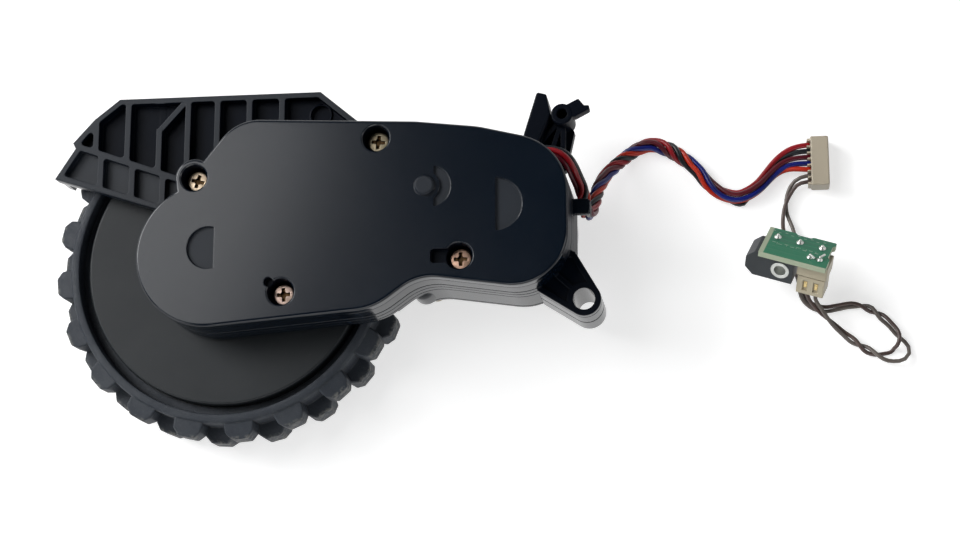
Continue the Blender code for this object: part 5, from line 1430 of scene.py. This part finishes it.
def places_tree():
    """Sets a copy of a piece at every point, each with its own seeded turn."""
    graph, given, out = group_of("set_at_places", [
        ("Places", "NodeSocketGeometry", None), ("Piece", "NodeSocketObject", None),
        ("Turn", "NodeSocketFloat", 0.0), ("Turn Spread", "NodeSocketFloat", 0.0),
        ("Seed", "NodeSocketInt", 3), ("Finish", "NodeSocketMaterial", None)],
        [("Pieces", "NodeSocketGeometry")], "GeometryNodeTree")
    piece = graph.add("GeometryNodeObjectInfo", None, {"Object": given["Piece"]}).outputs["Geometry"]
    numbered = graph.add("GeometryNodeStoreNamedAttribute", {"data_type": "FLOAT", "domain": "POINT"},
                         {"Geometry": given["Places"], "Name": "piece_number",
                          "Value": graph.add("GeometryNodeInputIndex").outputs[0]}).outputs["Geometry"]
    random = graph.add("FunctionNodeRandomValue", {"data_type": "FLOAT"})
    graph.feed(random.inputs[2], -1.0)
    graph.feed(random.inputs[3], 1.0)
    graph.feed(random.inputs["Seed"], given["Seed"])
    swing = graph.sum("MULTIPLY_ADD", random.outputs[1], given["Turn Spread"], given["Turn"])
    inputs = {"Points": numbered, "Instance": piece, "Rotation": graph.vector(z=swing)}
    copies = graph.add("GeometryNodeInstanceOnPoints", None, inputs).outputs[0]
    real = graph.add("GeometryNodeRealizeInstances", None, {"Geometry": copies}).outputs[0]
    finished(graph, out, real, given["Finish"])
    return graph.tree


def ring_tree():
    """Sets copies of a piece round the Z axis, with a small seeded change of height."""
    graph, given, out = group_of("ring_of_pieces", [
        ("Base", "NodeSocketGeometry", None), ("Piece", "NodeSocketObject", None),
        ("Count", "NodeSocketInt", LUG_COUNT), ("Start", "NodeSocketFloat", 0.0),
        ("Seed", "NodeSocketInt", 5), ("Finish", "NodeSocketMaterial", None)],
        [("Pieces", "NodeSocketGeometry")], "GeometryNodeTree")
    piece = graph.add("GeometryNodeObjectInfo", None, {"Object": given["Piece"]}).outputs["Geometry"]
    marks = graph.add("GeometryNodePoints", None, {"Count": given["Count"]}).outputs[0]
    index = graph.add("GeometryNodeInputIndex").outputs[0]
    pitch = graph.sum("DIVIDE", 2.0 * math.pi, given["Count"])
    turn = graph.sum("MULTIPLY_ADD", index, pitch, given["Start"])
    rotation = graph.vector(z=turn)
    random = graph.add("FunctionNodeRandomValue", {"data_type": "FLOAT"})
    graph.feed(random.inputs[2], 0.985)
    graph.feed(random.inputs[3], 1.0)
    graph.feed(random.inputs["Seed"], given["Seed"])
    height = graph.vector(1.0, 1.0, random.outputs[1])
    inputs = {"Points": marks, "Instance": piece, "Rotation": rotation, "Scale": height}
    copies = graph.add("GeometryNodeInstanceOnPoints", None, inputs).outputs[0]
    real = graph.add("GeometryNodeRealizeInstances", None, {"Geometry": copies}).outputs[0]
    whole = graph.add("GeometryNodeJoinGeometry")
    graph.tree.links.new(given["Base"], whole.inputs[0])
    graph.tree.links.new(real, whole.inputs[0])
    finished(graph, out, whole.outputs[0], given["Finish"])
    return graph.tree


TREES = {"places": places_tree(), "ring": ring_tree()}


def grown(item, tree, **inputs):
    """Run a geometry node tree on an object and keep the plain mesh that it makes."""
    step = item.modifiers.new("repeat", "NODES")
    step.node_group = TREES[tree]
    names = {socket.name: socket.identifier for socket in TREES[tree].interface.items_tree
             if socket.in_out == "INPUT"}
    for key, value in inputs.items():
        step[names[key.replace("_", " ")]] = value
    settle(item)
    return item


def points_object(name, places):
    shape = bmesh.new()
    for x, y, z in places:
        shape.verts.new((x * MM, y * MM, z * MM))
    return as_object(name, shape)


def screw_shape(head_radius, head, shank_radius, length, way):
    """Pan-head cross screw about the origin, its seat at z = 0 and its head on the side that way gives."""
    profile = [(0.0, -length), (shank_radius * 0.6, -length), (shank_radius, -length + 0.5)]
    turns = int(length / 0.8)
    for i in range(turns):
        z = -length + 0.6 + i * 0.8
        profile += [(shank_radius, z), (shank_radius - 0.18, z + 0.3), (shank_radius, z + 0.6)]
    profile = [point for point in profile if point[1] < -0.1] + [(shank_radius - 0.1, 0.0)]
    profile += [(head_radius - 0.12, 0.0), (head_radius, 0.15), (head_radius, head - 0.45)]
    for i in range(1, 6):
        angle = math.pi / 2.0 * i / 5.0
        profile.append((head_radius - 0.3 * (1.0 - math.cos(angle)), head - 0.45 + 0.4 * math.sin(angle)))
    profile.append((0.0, head))
    screw = as_object("screw", turned(profile, 48))
    arms = []
    for turn in (45.0, 135.0):
        reach = polar((0.0, 0.0), head_radius * 0.62, turn)
        arms.append(bar(reach, (-reach[0], -reach[1]), head_radius * 0.32, head * 0.62, head + 1.0))
    arms.append(rod(head_radius * 0.30, head * 0.50, head + 1.0, 20))
    cut(screw, arms)
    if way < 0:
        flip = Matrix.Rotation(math.pi, 4, "X")
        screw.data.transform(flip)
    return screw


def in_cross(place, normal):
    """Whether a face is inside the cross recess of a cover screw."""
    near = min(math.dist(place.xy, centre) for centre in COVER_SCREWS)
    return near < HEAD_RADIUS * 0.64 and WELL_SEAT_Z + GAP + 0.3 < place.z < WELL_SEAT_Z + GAP + 1.42


def build_screws():
    """Cover screws, heads up, and cap screws, heads down, each with its own small turn."""
    screw = screw_shape(HEAD_RADIUS, 1.6, SCREW_RADIUS, 4.2, 1)
    seats = points_object("cover_screw_set", [(*place, WELL_SEAT_Z + GAP) for place in COVER_SCREWS])
    grown(seats, "places", Piece=screw, Turn_Spread=1.2, Seed=4, Finish=MATS["copper"])
    discard(screw)
    # painted shade inside the cross recesses of the cover screws
    lined(shaded(seats, MATS["copper"]), MATS["recess"], in_cross)
    hand_over(seats, "gearcase", "copper_screw", *[f"cover_screw_{i + 1}" for i in range(4)])
    screw = screw_shape(CAP_HEAD_RADIUS, 1.2, SCREW_RADIUS, 6.5, -1)
    seats = points_object("cap_screw_set", [(*place, LID_Z - GAP) for place in CAP_SCREWS])
    grown(seats, "places", Piece=screw, Turn_Spread=1.2, Seed=9, Finish=MATS["copper"])
    discard(screw)
    shaded(seats, MATS["copper"])
    hand_over(seats, "gearcase", "copper_screw", *[f"cap_screw_{i + 1}" for i in range(3)])


# Wheel

def lug_shape(low, high, lower_chamfer):
    """One tread block about the X axis: tapered in plan, rounded wall, chamfered ends."""
    foot = TYRE_RADIUS - TREAD_DEPTH - 0.6
    half = LUG_LENGTH / 2.0
    flank = [(foot, half * 1.04), (TYRE_RADIUS - 1.3, half * 0.92), (TYRE_RADIUS, half * 0.52)]
    outline = [(x, -y) for x, y in flank] + flank[::-1]
    shape = prism(rounded(outline, 0.8, 4), low, high, 0.35, 0.35, 3)
    for vert in shape.verts:
        outer = smooth((vert.co.x / MM - (TYRE_RADIUS - 1.6)) / 1.4)
        z = vert.co.z / MM
        if z > high - 1.0:
            vert.co.z -= 0.5 * outer * MM
        elif lower_chamfer and z < low + 1.0:
            vert.co.z += 1.4 * outer * MM
    return as_object("lug", shape)


def build_tyre():
    """Tyre with a groove beside the hub and two staggered rows of lugs."""
    base = TYRE_RADIUS - TREAD_DEPTH
    top = TYRE_WIDTH
    step = TYRE_WIDTH - 3.4
    profile = [(TYRE_SEAT_RADIUS, 1.2), (GROOVE_RADIUS - 0.4, 0.1), (GROOVE_RADIUS, 0.0), (base - 0.9, 0.0),
               (base - 0.4, 0.15), (base - 0.1, 0.5), (base, 0.9), (base, top - 0.9),
               (base - 0.1, top - 0.45),
               (base - 0.4, top - 0.12), (base - 0.9, top), (GROOVE_RADIUS + 0.35, top),
               (GROOVE_RADIUS + 0.1, top - 0.1), (GROOVE_RADIUS, top - 0.35),
               (GROOVE_RADIUS, step), (HUB_DISC_RADIUS + 0.25, step),
               (HUB_DISC_RADIUS + 0.25, step - 0.25), (TYRE_SEAT_RADIUS, step - 0.25)]
    tyre = as_object("tyre_tread", turned(profile, LUG_COUNT * 9))
    pitch = 2.0 * math.pi / LUG_COUNT
    middle = TYRE_WIDTH * 0.6
    first = math.radians(FIRST_LUG)
    rows = ((lug_shape(middle - 0.2, top - 0.5, False), first, 5),
            (lug_shape(1.2, middle, True), first + pitch / 2, 8))
    for lug, start, seed in rows:
        grown(tyre, "ring", Piece=lug, Count=LUG_COUNT, Start=start, Seed=seed, Finish=MATS["rubber"])
        discard(lug)
    return hand_over(shaded(tyre, MATS["rubber"]), "wheel", "tyre_rubber", "tyre")


def flatted(radius, flat, steps=48):
    """A round section with two flats."""
    return [(x, max(-flat, min(flat, y))) for x, y in circle((0.0, 0.0), radius, steps)]


def build_hub():
    """Hub with its smooth disc and hidden spokes, and the cap on its outer face."""
    rim = TYRE_SEAT_RADIUS - GAP
    inner = HUB_DISC_RADIUS - HUB_WALL
    under = HUB_FACE_Z - HUB_WALL
    step = TYRE_WIDTH - 3.7
    disc = HUB_DISC_RADIUS
    profile = [(HUB_BOSS_RADIUS, 3.0), (HUB_BOSS_RADIUS, under), (inner, under), (inner, 1.5), (rim, 1.5),
               (rim, step), (disc, step), (disc, HUB_FACE_Z - 0.45), (disc - 0.12, HUB_FACE_Z - 0.18),
               (disc - 0.4, HUB_FACE_Z),
               (4.6, HUB_FACE_Z), (4.6, FLOOR_Z - 0.6), (2.0, FLOOR_Z - 0.6), (2.0, 3.0)]
    hub = as_object("wheel_hub_moulding", turned(profile, 192))
    ribs = []
    for angle in range(0, 360, 60):
        near = polar(WHEEL_AXIS, HUB_BOSS_RADIUS - 1.0, angle)
        ribs.append(bar(near, polar(WHEEL_AXIS, inner + 0.8, angle), 1.5, 6.2, under + 0.5))
    join(hub, ribs)
    cut(hub, [prism(flatted(2.8, 2.2), 2.0, 12.2), rod(2.8, 11.4, FLOOR_Z, 32)])
    hand_over(shaded(hub, MATS["hub"]), "wheel", "hub_plastic", "wheel_hub")
    skirt = HUB_BOSS_RADIUS + GAP
    profile = [(0.0, 0.0), (HUB_CAP_RADIUS - 0.6, 0.0), (HUB_CAP_RADIUS - 0.18, 0.18), (HUB_CAP_RADIUS, 0.6),
               (HUB_CAP_RADIUS, HUB_CAP_THICKNESS), (skirt + 1.1, HUB_CAP_THICKNESS), (skirt + 1.1, 5.4),
               (skirt, 5.4), (skirt, HUB_CAP_THICKNESS), (0.0, HUB_CAP_THICKNESS)]
    cap = as_object("hub_cap_disc", turned(profile, 192))
    hand_over(shaded(cap, MATS["hub"]), "wheel", "hub_plastic", "hub_cap")


# Plugs and switch board

def build_plug():
    """Seven-way crimp plug: stepped wire side, housing, contact windows."""
    x, y = HOUSING_CORNER
    wide, long, tall = PLUG_SIZE[0], HOUSING_LENGTH, PLUG_SIZE[2]
    middle_y = y + long / 2.0
    middle = (x + 0.6 + (wide - 0.6) / 2.0, middle_y, tall / 2.0)
    plug = as_object("harness_plug_housing", block((wide - 0.6, long, tall), middle, 0.35, 4))
    join(plug, [block((1.3, long - 0.6, tall - 1.1), (x + 0.65, middle_y, tall / 2.0 - 0.15), 0.15)])
    holes = []
    for i in range(PLUG_WAYS):
        way = plug_way(i)
        holes.append(block((1.0, 0.95, 3.0), (x + 0.3, way[1], PLUG_WIRE_Z + 0.6)))
        holes.append(block((1.6, 0.9, 1.5), (x + wide - 0.5, way[1], PLUG_WIRE_Z)))
        holes.append(block((1.2, 0.7, 0.8), (x + 2.3, way[1], 0.0)))
    cut(plug, holes)
    hand_over(shaded(plug, MATS["cream"]), "gearcase", "cream_nylon", "harness_plug")
    crimps = []
    for i in range(PLUG_WAYS):
        way = plug_way(i)
        crimps.append(block((0.5, 0.7, 0.25), (x + 0.35, way[1], PLUG_WIRE_Z - 0.75), 0.06, 2))
        crimps.append(block((0.9, 0.6, 0.3), (x + wide - 0.75, way[1], PLUG_WIRE_Z - 0.4), 0.06, 2))
    contacts = shaded(as_object("harness_plug_contacts", merged(crimps)), MATS["brass"])
    hand_over(contacts, "gearcase", "brass")


def placed_on_board(name, shapes, material, slot, *nodes):
    """Shapes in the board's own frame, put in their place as one finished piece."""
    item = as_object(name, merged(shapes))
    item.data.transform(BOARD)
    return hand_over(shaded(item, material), "gearcase", slot, *nodes)


def build_board():
    """Small green board, drilled for its three pins."""
    wide, deep, thick = BOARD_SIZE
    half_x, half_y = wide / 2.0, deep / 2.0
    outline = [(-half_x, -half_y), (half_x, -half_y), (half_x, -half_y + 2.9),
               (half_x - 0.45, -half_y + 3.3), (half_x - 0.45, half_y - 1.4), (half_x, half_y - 1.0),
               (half_x, half_y), (half_x - 4.6, half_y), (half_x - 5.0, half_y - 0.4),
               (half_x - 7.6, half_y - 0.4), (half_x - 8.0, half_y), (-half_x, half_y)]
    board = as_object("switch_board_plate", prism(rounded(outline, 0.12, 2), -thick / 2.0, thick / 2.0))
    drills = [rod(0.5, -2.0, 2.0, 16, ((i - 1) * PIN_PITCH, PIN_ROW_Y)) for i in range(3)]
    cut(board, drills)
    place = board.data.attributes.new("board_place", "FLOAT_VECTOR", "POINT")
    for vert in board.data.vertices:
        place.data[vert.index].vector = (vert.co.x / MM, vert.co.y / MM, 0.0)
    side = board.data.attributes.new("board_side", "FLOAT", "FACE")
    for face in board.data.polygons:
        side.data[face.index].value = float(abs(face.normal.z) < 0.5)
    board.data.transform(BOARD)
    hand_over(shaded(board, MATS["board"]), "gearcase", "green_board", "switch_board")


def build_board_face():
    """What shows on the board's upper face: solder joints, header pins and printed marks."""
    up = BOARD_SIZE[2] / 2.0
    profile = [(0.0, 0.0), (0.72, 0.0), (0.70, 0.06), (0.50, 0.20), (0.36, 0.42), (0.30, 0.60), (0.18, 0.70),
               (0.0, 0.72)]
    joint = as_object("joint", turned(profile, 20))
    row = points_object("solder_joints", [((i - 1) * PIN_PITCH, PIN_ROW_Y, up) for i in range(3)])
    grown(row, "places", Piece=joint, Turn_Spread=3.0, Seed=2, Finish=MATS["solder"])
    discard(joint)
    row.data.transform(BOARD)
    shaded(row, MATS["solder"])
    hand_over(row, "gearcase", "steel", "switch_pin_1", "switch_pin_2", "switch_pin_3")

    pins = []
    for x, lean in ((2.9, -35.0), (4.9, 62.0)):
        foot = Matrix.Translation(Vector((x, -2.0, up)) * MM)
        bend = Matrix.Translation(Vector((x, -2.0, up + 0.65)) * MM)
        pins.append(moved(block((0.36, 0.36, 0.8), (0.0, 0.0, 0.35), 0.07), foot))
        arm = block((1.5, 0.36, 0.34), (0.6, 0.0, 0.0), 0.07)
        pins.append(moved(arm, bend @ Matrix.Rotation(math.radians(lean), 4, "Z")))
        pins.append(moved(turned([(0.0, 0.0), (0.62, 0.0), (0.42, 0.2), (0.26, 0.36), (0.0, 0.4)], 18), foot))
    placed_on_board("header_pins", pins, MATS["solder"], "steel")

    marks = []
    for i in range(9):
        marks.append(block((0.55, 0.16, 0.04), (-5.6 + i * 1.25, 3.3 - 0.35 * (i % 2), up + 0.02)))
    for i in range(8):
        marks.append(block((0.75, 0.14, 0.04), (-4.6 + i * 1.2, -0.15 - 0.3 * (i % 2), up + 0.02)))
    for i in range(5):
        marks.append(block((0.12, 0.6, 0.04), (-4.0 + i * 1.9, -0.3, up + 0.02)))
    placed_on_board("board_marks", marks, MATS["mark"], None)


def build_switch():
    """The micro switch under the board, with its steel eyelet."""
    long, wide, tall = SWITCH_SIZE
    left, right = SWITCH_X - long / 2.0, SWITCH_X + long / 2.0
    chamfer = SWITCH_CHAMFER
    side = [(left + chamfer, UNDER), (left, UNDER - chamfer), (left, UNDER - tall + chamfer),
            (left + chamfer, UNDER - tall), (right, UNDER - tall), (right, UNDER)]
    switch = as_object("switch_case", across(side, -wide / 2.0, wide / 2.0))
    eyelet_place = (SWITCH_X + 2.2, 0.0, UNDER - tall * 0.52)
    upright = Matrix.Translation(Vector(eyelet_place) * MM) @ Matrix.Rotation(math.pi / 2.0, 4, "X")
    slot_x = left + 2.4
    hole = moved(rod(EYELET_RADIUS + 0.05, -wide, wide, 40), upright)
    plunger_room = (PLUNGER_SIZE[0] + 2 * GAP, PLUNGER_SIZE[1] + 2 * GAP, 3.0)
    cut(switch, [hole, block(plunger_room, (slot_x, 0.0, UNDER - tall))])
    switch.data.transform(BOARD)
    hand_over(shaded(switch, MATS["black"]), "gearcase", "black_plastic", "switch_body")
    inner, outer, reach = EYELET_RADIUS - 0.55, EYELET_RADIUS + 0.1, wide / 2.0 + 0.12
    ring = [(inner, -reach), (outer, -reach), (outer, reach), (inner, reach)]
    eyelet = moved(turned(ring, 48), upright)
    placed_on_board("switch_eyelet_ring", [eyelet], MATS["solder"], "steel", "switch_eyelet")


def build_lead_plug():
    """The header under the board and the two-way plug in it."""
    header = block(HEADER_SIZE, (HEADER_X, 0.0, UNDER - HEADER_SIZE[2] / 2.0), 0.2)
    placed_on_board("board_header_shell", [header], MATS["ivory"], "cream_nylon", "board_header")
    deep, tall = LEAD_PLUG_SIZE[1:]
    middle = LEAD_PLUG_TOP - tall / 2.0
    ways = (HEADER_X - LEAD_WAY, HEADER_X + LEAD_WAY)
    plug = as_object("lead_plug_housing", block(LEAD_PLUG_SIZE, (HEADER_X, 0.0, middle), 0.2))
    cut(plug, [block((1.0, 0.9, 2.4), (x, -deep / 2.0, middle)) for x in ways])
    cut(plug, [block((1.1, 1.1, 1.6), (x, 0.0, LEAD_PLUG_END)) for x in ways])
    plug.data.transform(BOARD)
    hand_over(shaded(plug, MATS["ivory"]), "gearcase", "cream_nylon", "lead_plug")
    contacts = [block((0.7, 0.3, 1.5), (x, -deep / 2.0 + 0.5, middle), 0.08) for x in ways]
    placed_on_board("lead_plug_contacts", contacts, MATS["brass"], "brass")


def dress_carried_nodes():
    """The hidden works keep their own shapes and get real finishes."""
    for name, finish in CARRIED_FINISHES.items():
        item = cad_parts[name]
        for slot in item.material_slots:
            slot.material = MATS[finish]


def declare_cords(harness, lead):
    """Tie each wire to the gearcase body and hide the harness and lead nodes that the wires stand for."""
    for i, (item, points) in enumerate(harness):
        hand_over(item, "gearcase", "red_wire", *(["motor_harness"] if i == 0 else []))
    for i, (item, points) in enumerate(lead):
        hand_over(item, "gearcase", "brown_wire", *(["switch_lead"] if i == 0 else []))


def main():
    place_camera()
    harness, lead = build_harness(), build_lead()
    build_studio()
    build_cover()
    build_base()
    build_cap()
    build_screws()
    build_tyre()
    build_hub()
    build_plug()
    build_board()
    build_board_face()
    build_switch()
    build_lead_plug()
    dress_carried_nodes()
    declare_cords(harness, lead)


main()
